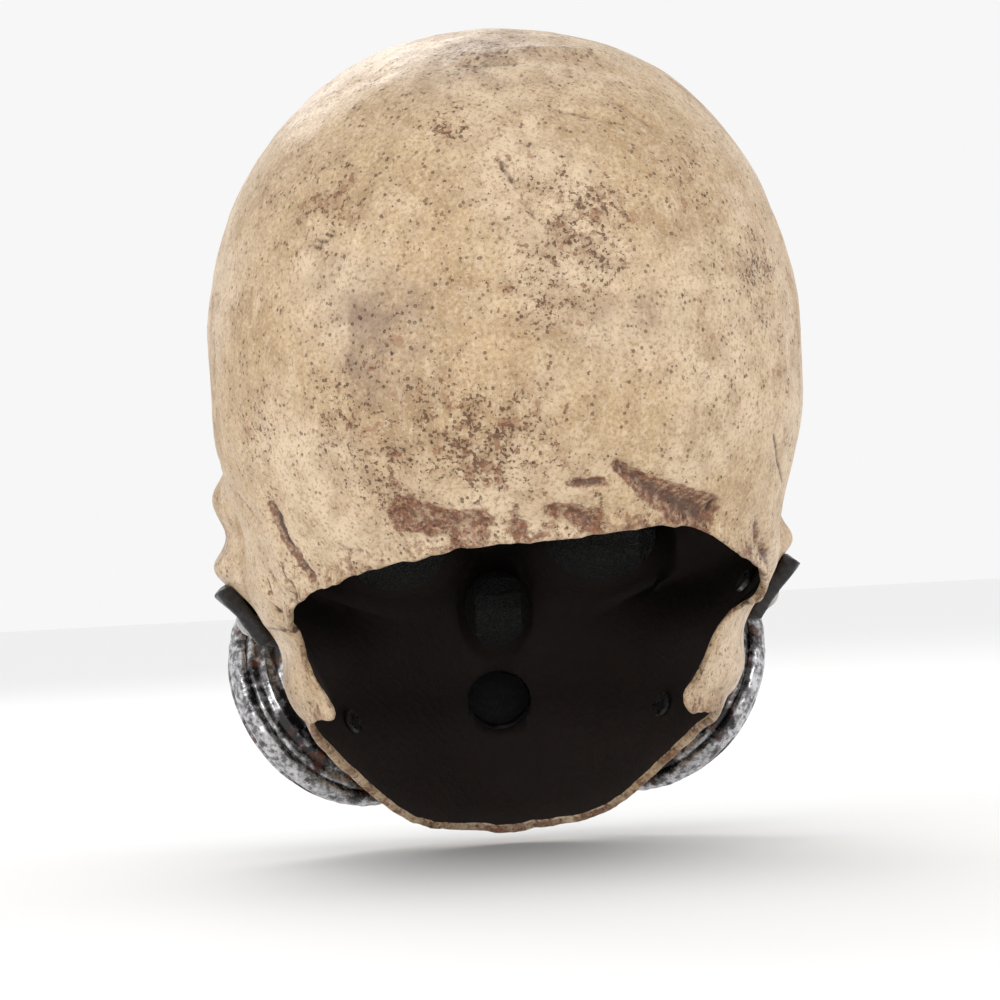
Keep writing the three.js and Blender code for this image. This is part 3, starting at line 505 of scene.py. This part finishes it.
def makeLatex():
    wall = skull["wall"]
    turn, polar = latexNet(latex["columns"], latex["rows"])
    outer = skullPoints(turn, polar)
    normal = skullNormals(turn, polar)
    edgeGap = np.cumsum(np.linalg.norm(np.diff(outer[:, ::-1], axis=1), axis=-1), axis=1)
    edgeGap = np.concatenate([np.zeros((outer.shape[0], 1)), edgeGap], axis=1)[:, ::-1]
    depth, paint = weather(outer, turn, polar, edgeGap)
    depth[-1], paint[-1] = depth[0], paint[0]
    outer = outer - normal * depth[..., None]
    outer[:, 0] = outer[:, 0].mean(axis=0)
    # the lip: a half round from the outer edge to the inner one
    tangent = outer[:, -1] - outer[:, -4]
    tangent /= np.linalg.norm(tangent, axis=-1, keepdims=True)
    lip = []
    for j in range(1, latex["lipRows"] + 1):
        angle = math.pi * j / latex["lipRows"]
        half = (wall + depth[:, -1:] * -0.5) / 2
        out = tangent * math.sin(angle) * half
        lip.append(outer[:, -1] + out - normal[:, -1] * (1 - math.cos(angle)) * half)
    outerAll = np.concatenate([outer, np.stack(lip, axis=1)], axis=1)
    paintAll = np.concatenate([paint, np.repeat(paint[:, -1:], latex["lipRows"], axis=1)], axis=1)
    innerTurn, innerPolar = latexNet(latex["columns"], latex["innerRows"])
    inner = skullPoints(innerTurn, innerPolar)
    innerNormal = skullNormals(innerTurn, innerPolar)
    pressed, _ = weather(inner, innerTurn, innerPolar, np.full(inner.shape[:2], 50.0))
    inner -= innerNormal * (wall + np.maximum(pressed, 0))[..., None]
    inner[:, -1] = outerAll[:, -1]
    inner[:, 0] = inner[:, 0].mean(axis=0)
    bm = bmesh.new()
    plain = np.zeros(inner.shape[:2] + (4,))
    for points, colours, flip in ((outerAll, paintAll, False), (inner, plain, True)):
        mesh, i, k = gridMesh("latexPart", points)
        paintMesh(mesh, "paint", colours[i, k])
        before = len(bm.faces)
        bm.from_mesh(mesh)
        bpy.data.meshes.remove(mesh)
        bm.faces.ensure_lookup_table()
        if flip:
            bmesh.ops.reverse_faces(bm, faces=bm.faces[before:])
            for face in bm.faces[before:]:
                face.material_index = 1
    bmesh.ops.remove_doubles(bm, verts=bm.verts, dist=2e-5)
    for face in bm.faces:
        face.smooth = True
    mesh = bpy.data.meshes.new("skullLatex")
    bm.to_mesh(mesh)
    print("latex open edges", sum(1 for e in bm.edges if len(e.link_faces) != 2), "faces", len(bm.faces))
    bm.free()
    return newObject("skullLatex", mesh)


# shader helpers
def addNode(tree, kind, inputs=None, **settings):
    # an input is a number, a colour, or another node's output to be linked
    made = tree.nodes.new("ShaderNode" + kind)
    for name, value in settings.items():
        setattr(made, name, value)
    for name, value in (inputs or {}).items():
        if isinstance(value, bpy.types.NodeSocket):
            tree.links.new(value, made.inputs[name])
        else:
            made.inputs[name].default_value = value
    return made


def span(tree, value, low, high, toLow=0.0, toHigh=1.0):
    keys = {"Value": value, "From Min": low, "From Max": high, "To Min": toLow, "To Max": toHigh}
    return addNode(tree, "MapRange", keys, interpolation_type="SMOOTHSTEP").outputs["Result"]


def tint(tree, share, under, over, blend="MIX"):
    made = tree.nodes.new("ShaderNodeMix")
    made.data_type = "RGBA"
    made.blend_type = blend
    for i, value in ((0, share), (6, under), (7, over)):
        if isinstance(value, bpy.types.NodeSocket):
            tree.links.new(value, made.inputs[i])
        else:
            made.inputs[i].default_value = value if i == 0 else (*value, 1)
    return made.outputs[2]


def maths(tree, kind, a, b=0.0):
    return addNode(tree, "Math", {0: a, 1: b}, operation=kind).outputs[0]


def times(tree, a, b):
    return maths(tree, "MULTIPLY", a, b)


def fuzz(tree, where, size, detail=3.0, rough=0.55):
    # noise whose lumps are about size millimetres
    keys = {"Vector": where, "Scale": 1000.0 / size, "Detail": detail, "Roughness": rough}
    return addNode(tree, "TexNoise", keys).outputs["Fac"]


def makeSpots():
    # spots of one size: Amount from none to crowded
    tree = bpy.data.node_groups.new("spots", "ShaderNodeTree")
    for name, kind in (("Vector", "Vector"), ("Scale", "Float"), ("Amount", "Float")):
        tree.interface.new_socket(name, in_out="INPUT", socket_type="NodeSocket" + kind)
    tree.interface.new_socket("Mask", in_out="OUTPUT", socket_type="NodeSocketFloat")
    given = tree.nodes.new("NodeGroupInput")
    result = tree.nodes.new("NodeGroupOutput")
    keys = {name: given.outputs[name] for name in ("Vector", "Scale")}
    keys.update({"Detail": 4.0, "Roughness": 0.62})
    speck = addNode(tree, "TexNoise", keys).outputs["Fac"]
    low = maths(tree, "SUBTRACT", 0.75, times(tree, given.outputs["Amount"], 0.26))
    high = maths(tree, "ADD", low, 0.05)
    tree.links.new(span(tree, speck, low, high), result.inputs["Mask"])
    return tree


spotGroup = makeSpots()


def spots(tree, where, size, amount):
    made = tree.nodes.new("ShaderNodeGroup")
    made.node_tree = spotGroup
    tree.links.new(where, made.inputs["Vector"])
    made.inputs["Scale"].default_value = 1000.0 / size
    tree.links.new(amount, made.inputs["Amount"])
    return made.outputs["Mask"]


def freshMaterial(name, **sockets):
    made = bpy.data.materials.new(name)
    made.use_nodes = True
    tree = made.node_tree
    shader = tree.nodes["Principled BSDF"]
    for key, value in sockets.items():
        shader.inputs[key.replace("_", " ")].default_value = value
    where = addNode(tree, "TexCoord").outputs["Object"]
    return made, tree, shader, where


def feed(shader, name, value):
    shader.id_data.links.new(value, shader.inputs[name])


def emboss(tree, shader, height, distance):
    keys = {"Height": height, "Distance": distance * mm, "Strength": 1.0}
    feed(shader, "Normal", addNode(tree, "Bump", keys).outputs["Normal"])


# materials
bonePaint = {
    "tan": (0.38, 0.245, 0.12),
    "cream": (0.55, 0.392, 0.225),
    "pale": (0.70, 0.545, 0.375),
    "wash": (0.265, 0.15, 0.07),
    "speck": (0.10, 0.038, 0.016),
    "rust": (0.115, 0.036, 0.016),
    "rustLight": (0.25, 0.098, 0.043),
    "dirtAndShade": (0.045, 0.017, 0.009),
    # dirt colour, also used as painted shade in the sockets, the nose, the temples and along the jaw step
    "smudgeAndShade": (0.15, 0.09, 0.075),
# smudge colour, also used as painted shade in the hollows
}


def makeBone():
    made, tree, shader, where = freshMaterial("boneLatex")
    look = bonePaint
    paint = addNode(tree, "Attribute", attribute_name="paint")
    parts = addNode(tree, "SeparateColor", {0: paint.outputs["Color"]}).outputs
    speckle, dirtAndShade, rust = parts[0], parts[1], parts[2]
    smudgeAndShade = paint.outputs["Alpha"]
    broad = fuzz(tree, where, 55, 4, 0.5)
    cloudy = fuzz(tree, where, 24, 6, 0.68)
    tone = tint(tree, span(tree, broad, 0.38, 0.6), look["cream"], look["pale"])
    tone = tint(tree, span(tree, cloudy, 0.44, 0.72, 0, 0.85), tone, look["tan"])
    brushed = addNode(tree, "Mapping", {"Vector": where, "Scale": (1.0, 1.0, 0.22)}).outputs["Vector"]
    strokes = fuzz(tree, brushed, 2.6, 3, 0.6)
    tone = tint(tree, span(tree, strokes, 0.5, 0.7, 0, 0.6), tone, look["pale"])
    grit = fuzz(tree, where, 1.3, 3, 0.7)
    tone = tint(tree, span(tree, grit, 0.5, 0.64, 0, 0.75), tone, look["tan"])
    tone = tint(tree, span(tree, grit, 0.47, 0.34, 0, 0.7), tone, look["pale"])
    patchy = fuzz(tree, where, 9, 5, 0.65)
    washed = times(tree, span(tree, patchy, 0.38, 0.68), speckle)
    # smudges, and painted shade in the hollows
    smudgedAndShaded = times(tree, span(tree, cloudy, 0.3, 0.62), smudgeAndShade)
    crowd = times(tree, speckle, span(tree, patchy, 0.25, 0.6, 0.35, 1.0))
    fine = spots(tree, where, 1.5, crowd)
    coarse = spots(tree, where, 3.4, times(tree, crowd, 0.9))
    blots = spots(tree, where, 7.5, times(tree, crowd, 0.95))
    keys = {"Vector": where, "Scale": 1000 / 2.3}
    cell = addNode(tree, "TexVoronoi", keys).outputs["Distance"]
    sparse = span(tree, fuzz(tree, where, 6, 2, 0.5), 0.5, 0.62)
    pit = times(tree, span(tree, cell, 0.30, 0.16), sparse)
    pit = times(tree, pit, span(tree, speckle, 0.05, 0.6, 0.3, 1.0))
    for share, amount, colour in (
        (washed, 0.75, "wash"), (smudgedAndShaded, 0.8, "smudgeAndShade"), (fine, 0.8, "speck"), (coarse, 0.75, "rustLight"),
        (blots, 0.5, "rustLight"), (pit, 0.75, "speck"),
    ):
        tone = tint(tree, times(tree, share, amount), tone, look[colour])
    broken = fuzz(tree, where, 3.2, 4, 0.65)
    rusted = span(tree, maths(tree, "ADD", rust, maths(tree, "SUBTRACT", broken, 0.5)), 0.22, 0.5)
    shade = span(tree, fuzz(tree, where, 1.6, 3, 0.6), 0.4, 0.62)
    rustTone = tint(tree, shade, look["rust"], look["rustLight"])
    flakes = span(tree, fuzz(tree, where, 2.6, 4, 0.7), 0.36, 0.56, 0.4, 0.95)
    flaked = times(tree, rusted, flakes)
    tone = tint(tree, flaked, tone, rustTone)
    uneven = times(tree, maths(tree, "SUBTRACT", broken, 0.5), 0.6)
    # dirt, and painted shade in the sockets, the nose, the temples and along the jaw step
    dirtAndShadeMask = span(tree, maths(tree, "ADD", dirtAndShade, uneven), 0.3, 0.85)
    tone = tint(tree, times(tree, dirtAndShadeMask, 0.9), tone, look["dirtAndShade"])
    feed(shader, "Base Color", tone)
    gloss = span(tree, cloudy, 0.3, 0.7, 0.36, 0.52)
    dulled = times(tree, fine, 0.15)
    feed(shader, "Roughness", maths(tree, "ADD", gloss, dulled))
    height = times(tree, patchy, 0.9)
    finest = fuzz(tree, where, 0.9, 2, 0.5)
    for kind, layer, depth in (
        ("ADD", strokes, 0.28), ("ADD", finest, 0.10), ("SUBTRACT", pit, 0.45), ("SUBTRACT", fine, 0.22),
        ("SUBTRACT", coarse, 0.2), ("SUBTRACT", rusted, 0.25),
    ):
        height = maths(tree, kind, height, times(tree, layer, depth))
    emboss(tree, shader, height, 1.5)
    return made


def makeInside():
    made, tree, shader, where = freshMaterial("insideLatex", Roughness=0.8)
    # dark brown latex, painted near black as the shade inside the hollow shell
    tone = tint(tree, fuzz(tree, where, 14, 3), (0.004, 0.0015, 0.0008), (0.016, 0.006, 0.003))
    feed(shader, "Base Color", tone)
    emboss(tree, shader, fuzz(tree, where, 3, 3), 0.6)
    return made


def makeRubber(name, size, depth, gloss):
    made, tree, shader, where = freshMaterial(name)
    lumpy = fuzz(tree, where, size, 4, 0.6)
    tone = tint(tree, span(tree, lumpy, 0.4, 0.7), (0.006, 0.006, 0.007), (0.022, 0.021, 0.024))
    feed(shader, "Base Color", tone)
    sheen = span(tree, fuzz(tree, where, 5, 3), 0.35, 0.65, gloss, gloss + 0.2)
    feed(shader, "Roughness", sheen)
    emboss(tree, shader, lumpy, depth)
    return made


def makeCast(name, bare):
    # cast black with silver rubbed over it; wear is how high a place stands
    made, tree, shader, where = freshMaterial(name)
    wear = addNode(tree, "Attribute", attribute_name="paint").outputs["Fac"]
    broad = fuzz(tree, where, 13, 4, 0.6)
    chips = fuzz(tree, where, 2.6, 4, 0.6)
    level = maths(tree, "ADD", times(tree, broad, 0.95), times(tree, chips, 0.25))
    level = maths(tree, "ADD", level, times(tree, wear, 0.2))
    silver = span(tree, level, 0.68 - bare, 0.86 - bare)
    brown = span(tree, fuzz(tree, where, 7, 4, 0.6), 0.5, 0.62)
    under = tint(tree, brown, (0.008, 0.008, 0.010), (0.075, 0.026, 0.014))
    blue = span(tree, fuzz(tree, where, 13, 3, 0.6), 0.56, 0.68, 0, 0.5)
    under = tint(tree, blue, under, (0.045, 0.055, 0.085))
    bright = tint(tree, span(tree, chips, 0.35, 0.65), (0.16, 0.155, 0.16), (0.66, 0.66, 0.68))
    feed(shader, "Base Color", tint(tree, silver, under, bright))
    feed(shader, "Metallic", times(tree, silver, 0.92))
    feed(shader, "Roughness", span(tree, chips, 0.3, 0.7, 0.14, 0.32))
    height = maths(tree, "ADD", times(tree, chips, 0.5), times(tree, silver, 0.3))
    emboss(tree, shader, height, 0.22)
    return made


def makePlain(name, colour, rough, metallic=0.0, grain=1.0, depth=0.1):
    made, tree, shader, where = freshMaterial(name, Metallic=metallic)
    spread = fuzz(tree, where, 4 * grain, 3)
    dark = tuple(c * 0.6 for c in colour)
    feed(shader, "Base Color", tint(tree, spread, dark, colour))
    feed(shader, "Roughness", span(tree, spread, 0.3, 0.7, rough - 0.08, rough + 0.08))
    emboss(tree, shader, fuzz(tree, where, grain, 3), depth)
    return made


def makeGauze():
    made, tree, shader, where = freshMaterial("screenGauze", Roughness=0.7)
    keys = {"Vector": where, "Scale": 1000 / 1.3}
    cells = addNode(tree, "TexVoronoi", keys, feature="DISTANCE_TO_EDGE").outputs["Distance"]
    tone = tint(tree, span(tree, cells, 0.05, 0.2), (0.014, 0.013, 0.012), (0.002, 0.002, 0.002))
    feed(shader, "Base Color", tone)
    emboss(tree, shader, span(tree, cells, 0.25, 0.03), 0.4)
    return made


paints = {
    "bone": makeBone(),
    "inside": makeInside(),
    "rubber": makeRubber("blackRubber", 2.6, 0.5, 0.3),
    "seal": makeRubber("sealRubber", 1.2, 0.1, 0.45),
    "rim": makeCast("castSilver", 0.04),
    "shell": makeCast("darkCastSilver", 0.02),
    "steel": makePlain("steelFixing", (0.55, 0.54, 0.53), 0.32, 1.0, 0.8, 0.06),
    "foam": makePlain("linerFoam", (0.05, 0.047, 0.044), 0.9, 0.0, 0.9, 0.5),
    "filter": makePlain("filterPad", (0.12, 0.11, 0.1), 0.92, 0.0, 0.7, 0.4),
    "gauze": makeGauze(),
}
print("stage: materials")

skin = makeLatex()
skin.data.materials.append(paints["bone"])
skin.data.materials.append(paints["inside"])


def applied(piece):
    # a copy of the piece's mesh with its modifiers worked in
    view = bpy.context.evaluated_depsgraph_get()
    mesh = bpy.data.meshes.new_from_object(piece.evaluated_get(view))
    old = piece.data
    piece.modifiers.clear()
    piece.data = mesh
    if old.users == 0:
        bpy.data.meshes.remove(old)
    return piece


def newPiece(name, bm, matrix=None):
    if matrix is not None:
        bmesh.ops.transform(bm, matrix=matrix, verts=bm.verts)
        if matrix.determinant() < 0:
            bmesh.ops.reverse_faces(bm, faces=bm.faces)
    mesh = bpy.data.meshes.new(name)
    for face in bm.faces:
        face.smooth = True
    bm.to_mesh(mesh)
    bm.free()
    return newObject(name, mesh)


# eyes, nose and mouth
faceHoles = [
    # across, level, half width, half height
    (38, -60, 15, 12),
    (-38, -60, 15, 12),
    (0, -86, 7, 9),
    (0, -121, 12, 11),
]
holeCut = {"middle": -120, "reach": 140}  # where the cutters lie, front to back


def cutHoles():
    bm = bmesh.new()
    for x, z, halfWidth, halfHeight in faceHoles:
        at = (x, holeCut["middle"], z - restLevel)
        turned = Matrix.Translation(at) @ Matrix.Rotation(math.pi / 2, 4, "X")
        size = Matrix.Diagonal((halfWidth, halfHeight, 1, 1))
        matrix = Matrix.Scale(mm, 4) @ turned @ size
        sizes = {"segments": 64, "radius1": 1, "radius2": 1, "depth": holeCut["reach"]}
        bmesh.ops.create_cone(bm, cap_ends=True, matrix=matrix, **sizes)
    cutter = newPiece("holeCutter", bm)
    cutter.data.materials.append(paints["bone"])
    cut = skin.modifiers.new("holes", "BOOLEAN")
    cut.object = cutter
    cut.solver = "MANIFOLD"
    cut.operation = "DIFFERENCE"
    applied(skin)
    bpy.data.objects.remove(cutter)


cutHoles()
print("face holes cut", len(skin.data.polygons))
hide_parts("skull_skin")
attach(skin, "mask")
print("stage: latex")

# turned pieces
def softened(profile, radius, closed=True):
    # every corner of a profile of (radius, height, wear) is rounded off; points on the axis stay
    out = []
    count = len(profile)
    for i in range(count):
        here = np.array(profile[i], dtype=float)
        if not closed and i in (0, count - 1) or here[0] < 1e-6:
            out.append(here)
            continue
        before = np.array(profile[i - 1], dtype=float) - here
        after = np.array(profile[(i + 1) % count], dtype=float) - here
        a = before * min(radius / np.linalg.norm(before[:2]), 0.42)
        b = after * min(radius / np.linalg.norm(after[:2]), 0.42)
        for t in (0.0, 0.33, 0.67, 1.0):
            out.append(here + a * (1 - t) ** 2 + b * t**2)
    return out


def spinPiece(name, profile, matrix, segments=128, closed=True, spacing=None, rough=0.0, size=5.0):
    # the profile is turned round its own axis, roughened, and set in place
    if spacing:
        finer = []
        count = len(profile)
        for i in range(count if closed else count - 1):
            a, b = np.array(profile[i], dtype=float), np.array(profile[(i + 1) % count], dtype=float)
            steps = max(1, int(round(np.linalg.norm((b - a)[:2]) / spacing)))
            finer += [a + (b - a) * s / steps for s in range(steps)]
        profile = finer + ([] if closed else [profile[-1]])
    bm = bmesh.new()
    layer = bm.verts.layers.float_color.new("paint")
    made = []
    for r, h, wear in profile:
        vert = bm.verts.new((r, 0, h))
        vert[layer] = (wear, wear, wear, wear)
        made.append(vert)
    pairs = list(zip(made[:-1], made[1:])) + ([(made[-1], made[0])] if closed else [])
    edges = [bm.edges.new(pair) for pair in pairs]
    around = {"axis": (0, 0, 1), "cent": (0, 0, 0), "angle": 2 * math.pi, "use_merge": True}
    bmesh.ops.spin(bm, geom=made + edges, steps=segments, **around)
    bmesh.ops.remove_doubles(bm, verts=bm.verts, dist=1e-4)
    bmesh.ops.recalc_face_normals(bm, faces=bm.faces)
    bm.normal_update()
    if rough:
        for vert in bm.verts:
            lump = noise.noise(vert.co / size) + 0.6 * noise.noise(vert.co / size * 2.3 + Vector((7, 3, 1)))
            vert.co += vert.normal * rough * lump * vert[layer][0]
    return newPiece(name, bm, matrix @ Matrix.Scale(mm, 4))


def discPiece(name, radius, low, high, holes, matrix, edge=0.3):
    # a flat disc pierced by round holes given as (x, y, radius), with its edges broken
    curve = bpy.data.curves.new(name, "CURVE")
    curve.dimensions = "2D"
    curve.fill_mode = "BOTH"
    curve.extrude = (high - low) / 2 - edge
    curve.bevel_depth = edge
    curve.bevel_resolution = 1
    curve.offset = -edge
    for x, y, r, count in [(0, 0, radius, 128)] + [(x, y, r, 28) for x, y, r in holes]:
        line = curve.splines.new("POLY")
        line.points.add(count - 1)
        line.use_cyclic_u = True
        for i, point in enumerate(line.points):
            a = 2 * math.pi * i / count
            point.co = (x + r * math.cos(a), y + r * math.sin(a), 0, 1)
    drawn = newObject(name + "Outline", curve)
    mesh = bpy.data.meshes.new_from_object(drawn.evaluated_get(bpy.context.evaluated_depsgraph_get()))
    bm = bmesh.new()
    bm.from_mesh(mesh)
    bpy.data.objects.remove(drawn)
    bpy.data.curves.remove(curve)
    bpy.data.meshes.remove(mesh)
    bmesh.ops.remove_doubles(bm, verts=bm.verts, dist=1e-3)
    bmesh.ops.recalc_face_normals(bm, faces=bm.faces)
    bmesh.ops.translate(bm, verts=bm.verts, vec=(0, 0, (low + high) / 2))
    piece = newPiece(name, bm, matrix @ Matrix.Scale(mm, 4))
    piece.data.set_sharp_from_angle(angle=math.radians(35))
    return piece


def ringHoles(rings):
    # rings are given as how many holes, on what radius, and theirs
    holes = []
    for count, at, r in rings:
        for i in range(count):
            a = (i + 0.5) / count * 2 * math.pi
            holes.append((at * math.cos(a), at * math.sin(a), r))
    return holes


def finish(piece, paint, slot, body, *nodes):
    piece.data.materials.clear()
    piece.data.materials.append(paints[paint])
    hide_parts(*nodes)
    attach(piece, body)
    return piece


def standing(at, axis):
    # the frame of a turned piece: its own height along the axis
    turn = Vector((0, 0, 1)).rotation_difference(Vector(axis)).to_matrix().to_4x4()
    return Matrix.Translation(Vector(at)) @ turn


joints = {joint["name"]: joint for joint in frame["joints"]}
flipped = Matrix.Scale(-1, 4, Vector((1, 0, 0)))

canister = {
    "radius": 48,
    "rimWidth": 3.2,
    "wall": 2.2,
    "depth": 9,
    "neckRadius": 17,
    "portReach": 22,
    "neckReach": 5,
    "shoulder": -19,
    "coverBack": 5.6,
    "coverThickness": 2.4,
    "capRadius": 12,
    "screwCircle": 37.5,
    "screwCount": 3,
    "screwRadius": 2.8,
    "shankRadius": 1.3,
    "gasketRadius": 20.6,
    "gasketThickness": 2.4,
    "rings": [(8, 19, 2.6), (12, 28.5, 2.6)],
}


def makeCanister(side, matrix):
    look = canister
    body = "canister_" + side
    shell = look["radius"] - look["rimWidth"] - 0.3
    neck, shoulder, wall = look["neckRadius"], look["shoulder"], look["wall"]
    root = -look["portReach"] - look["neckReach"]
    outline = [(neck, root, 0), (neck, shoulder, 0), (neck + 6, shoulder, 0.2)]
    steps = 3
    for i in range(steps + 1):
        r = neck + 7 + (shell - 3 - neck - 7) * i / steps
        h = shoulder + 2 + (-6.5 - shoulder - 2) * i / steps
        outline.append((r, h, 0.1))
        if i < steps:
            outline.append((r + 4.6, h + 0.5, 0.9))
            outline.append((r + 5.2, h + 1.6, 0.6))
    outline += [(shell - 0.5, -5.6, 0.9), (shell, -4.4, 0.6), (shell, look["depth"], 1.0)]
    outline += [(shell - wall, look["depth"], 0.9), (shell - wall, -4, 0), (neck - 2.6, shoulder + 3.4, 0)]
    outline.append((neck - 2.6, root, 0))
    grain = {"spacing": 1.3, "rough": 0.16, "size": 8.0}
    housing = spinPiece(body + "Housing", softened(outline, 0.9), matrix, 160, **grain)
    finish(housing, "shell", "dark_cast_silver", body, body + "_housing")

    inner = shell + 0.3
    r = look["radius"]
    outline = [(inner, -4, 0.5), (r - 1.1, -3.4, 0.8), (r, -1.6, 1), (r, 2.6, 1), (r - 0.9, 4.2, 1)]
    outline.append((inner, 5, 0.7))
    grain = {"spacing": 0.8, "rough": 0.38, "size": 4.5}
    rim = spinPiece(body + "Rim", softened(outline, 0.8), matrix, 200, **grain)
    finish(rim, "rim", "cast_silver", body, body + "_rim")

    turns = [i / look["screwCount"] * 2 * math.pi for i in range(look["screwCount"])]
    screws = [(look["screwCircle"] * math.cos(a), look["screwCircle"] * math.sin(a)) for a in turns]
    coverTop = look["coverBack"] + look["coverThickness"]
    size = shell - wall - 0.3
    pierced = ringHoles(look["rings"]) + [(x, y, look["shankRadius"] + 0.3) for x, y in screws]
    cover = discPiece(body + "Cover", size, look["coverBack"], coverTop, pierced, matrix)
    finish(cover, "shell", "dark_cast_silver", body, body + "_cover")

    outline = [(0, shoulder + 5, 0), (neck - 1, shoulder + 5, 0), (size - 0.5, -3, 0)]
    outline += [(size - 0.5, 5.3, 0), (0, 5.3, 0)]
    pad = spinPiece(body + "Filter", softened(outline, 1.5, False), matrix, 96, closed=False)
    finish(pad, "filter", "filter_pad", body, body + "_filter")

    foot = coverTop + 0.3
    r = look["capRadius"]
    outline = [
        (0, foot, 0.4), (r, foot, 0.6), (r, foot + 1.8, 1), (r - 2, foot + 3, 0.9),
        (r - 3.4, foot + 2.6, 0), (r - 4.6, foot + 3.2, 0.8), (r * 0.4, foot + 3.9, 1), (0, foot + 4, 0.7),
    ]
    grain = {"spacing": 0.8, "rough": 0.15, "size": 3}
    cap = spinPiece(body + "Cap", softened(outline, 0.6, False), matrix, 96, False, **grain)
    finish(cap, "rim", "cast_silver", body, body + "_cap")

    for i, (x, y) in enumerate(screws):
        r, thin = look["screwRadius"], look["shankRadius"]
        shank = look["coverBack"] + 0.3
        outline = [
            (0, shank, 0), (thin, shank, 0), (thin, foot, 0), (r, foot, 0.5), (r, foot + 1, 1),
            (r * 0.62, foot + 1.85, 1), (0, foot + 2, 1),
        ]
        at = matrix @ Matrix.Translation((x * mm, y * mm, 0))
        screw = spinPiece("%sScrew%d" % (body, i + 1), softened(outline, 0.35, False), at, 40, False)
        finish(screw, "steel", "steel_fixing", body, "%s_screw_%d" % (body, i + 1))

    low = -look["portReach"] + 0.3
    high = low + look["gasketThickness"]
    r = look["gasketRadius"]
    outline = [(neck + 0.5, low, 0), (r, low, 0), (r, high, 0), (neck + 0.5, high, 0)]
    ring = spinPiece("gasket" + side.capitalize(), softened(outline, 0.9), matrix, 96)
    finish(ring, "seal", "seal_rubber", "mask", "gasket_" + side)


leftJoint = joints["canister_left_twist"]
canisterFrame = standing(leftJoint["pos_m"], leftJoint["axis"])
makeCanister("left", canisterFrame)
makeCanister("right", flipped @ canisterFrame)
print("stage: canisters")

# the exhaust
exhaust = {
    "at": (0, -142, -124),
    "axis": (0, -0.94, -0.34),
    "radius": 22,
    "bore": 12,
    "base": -5.7,
    "valveRadius": 16.5,
    "valveFace": -2.8,
    "rings": [(5, 6, 2), (10, 13, 2)],
}


def makeExhaust():
    look = exhaust
    matrix = standing(place(look["at"]), look["axis"])
    base, radius, bore = look["base"], look["radius"], look["bore"] + 0.5
    outline = [
        (bore, base, 0), (radius, base, 0.3), (radius + 1, base + 1.2, 0.9), (radius + 1, base + 3.4, 1),
        (radius - 0.2, base + 4.4, 0.1), (radius - 0.2, base + 7.2, 0.2), (radius + 0.6, base + 8.2, 1),
        (radius, 5, 1), (radius - 0.9, 6, 1), (radius - 2.6, 5.6, 0.8), (radius - 2.6, base + 2.6, 0),
        (bore, base + 2.6, 0),
    ]
    grain = {"spacing": 0.9, "rough": 0.2, "size": 3}
    housing = spinPiece("exhaustHousing", softened(outline, 0.6), matrix, 128, **grain)
    finish(housing, "shell", "dark_cast_silver", "mask", "exhaust_housing")
    face, r = look["valveFace"], look["valveRadius"]
    outline = [(0, face, 0), (r, face, 0), (r, face + 1.2, 0), (5, face + 1.6, 0), (0, face + 2.4, 0)]
    valve = spinPiece("exhaustValve", softened(outline, 0.4, False), matrix, 80, False)
    finish(valve, "seal", "seal_rubber", "mask", "exhaust_valve")
    holes = ringHoles(look["rings"])
    grille = discPiece("exhaustGrille", radius - 2.9, 1.4, 3.8, holes, matrix)
    finish(grille, "rim", "cast_silver", "mask", "exhaust_grille")


makeExhaust()
print("stage: exhaust")

# rubber facepiece, pads, screens and rivets
moulding = {"voxel": 1.15, "smooth": 8, "grain": 0.35, "crumbly": 1.9, "crumbSize": 5.5, "crumbReach": 21}


def fused(node, name, voxel, smoothing):
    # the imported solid, remade as one skin with its edges softened
    piece = newObject(name, frame["nodes"][node].data.copy())
    remesh = piece.modifiers.new("fuse", "REMESH")
    remesh.mode = "VOXEL"
    remesh.voxel_size = voxel * mm
    smooth = piece.modifiers.new("soften", "SMOOTH")
    smooth.factor = 0.5
    smooth.iterations = smoothing
    applied(piece)
    for face in piece.data.polygons:
        face.use_smooth = True
    return piece


def makeFacepiece():
    look = moulding
    piece = fused("facepiece", "facepieceRubber", look["voxel"], look["smooth"])
    mesh = piece.data
    count = len(mesh.vertices)
    points, normals = np.empty(count * 3), np.empty(count * 3)
    mesh.vertices.foreach_get("co", points)
    mesh.vertex_normals.foreach_get("vector", normals)
    points, normals = points.reshape(-1, 3), normals.reshape(-1, 3)
    inMm = points / mm + (0, 0, restLevel)
    push = look["grain"] * wave(inMm, 9.0, 4.4)
    # the cast is rough where the rubber meets the top of a canister
    for side in (1, -1):
        near = np.exp(-((np.linalg.norm(inMm - (side * 80, -84, -84), axis=-1) / look["crumbReach"]) ** 4))
        lumps = wave(inMm, look["crumbSize"], 6.1) + 0.6 * wave(inMm, look["crumbSize"] * 0.45, 2.7)
        push += near * look["crumbly"] * lumps
    points += normals * push[:, None] * mm
    mesh.vertices.foreach_set("co", points.ravel())
    mesh.update()
    return finish(piece, "rubber", "black_rubber", "mask", "facepiece")


makeFacepiece()


def softPad(node, name):
    piece = fused(node, name, 1.3, 6)
    return finish(piece, "foam", "liner_foam", "mask", node)


softPad("crown_pad", "crownFoam")
softPad("brow_pad", "browFoam")


def dress(node, paint, edge=0.0):
    piece = frame["nodes"][node]
    piece.data.materials.clear()
    piece.data.materials.append(paints[paint])
    if edge:
        bevel = piece.modifiers.new("edges", "BEVEL")
        bevel.width = edge * mm
        bevel.segments = 2
        bevel.limit_method = "ANGLE"
        bevel.angle_limit = math.radians(40)
    for face in piece.data.polygons:
        face.use_smooth = True
    piece.data.set_sharp_from_angle(angle=math.radians(40))


for node in sorted(frame["nodes"]):
    if node.startswith("rivet_"):
        dress(node, "steel", 0.3)
    elif node.endswith("_screen") or "_screen_" in node:
        dress(node, "gauze")
print("stage: rubber, foam and fittings")
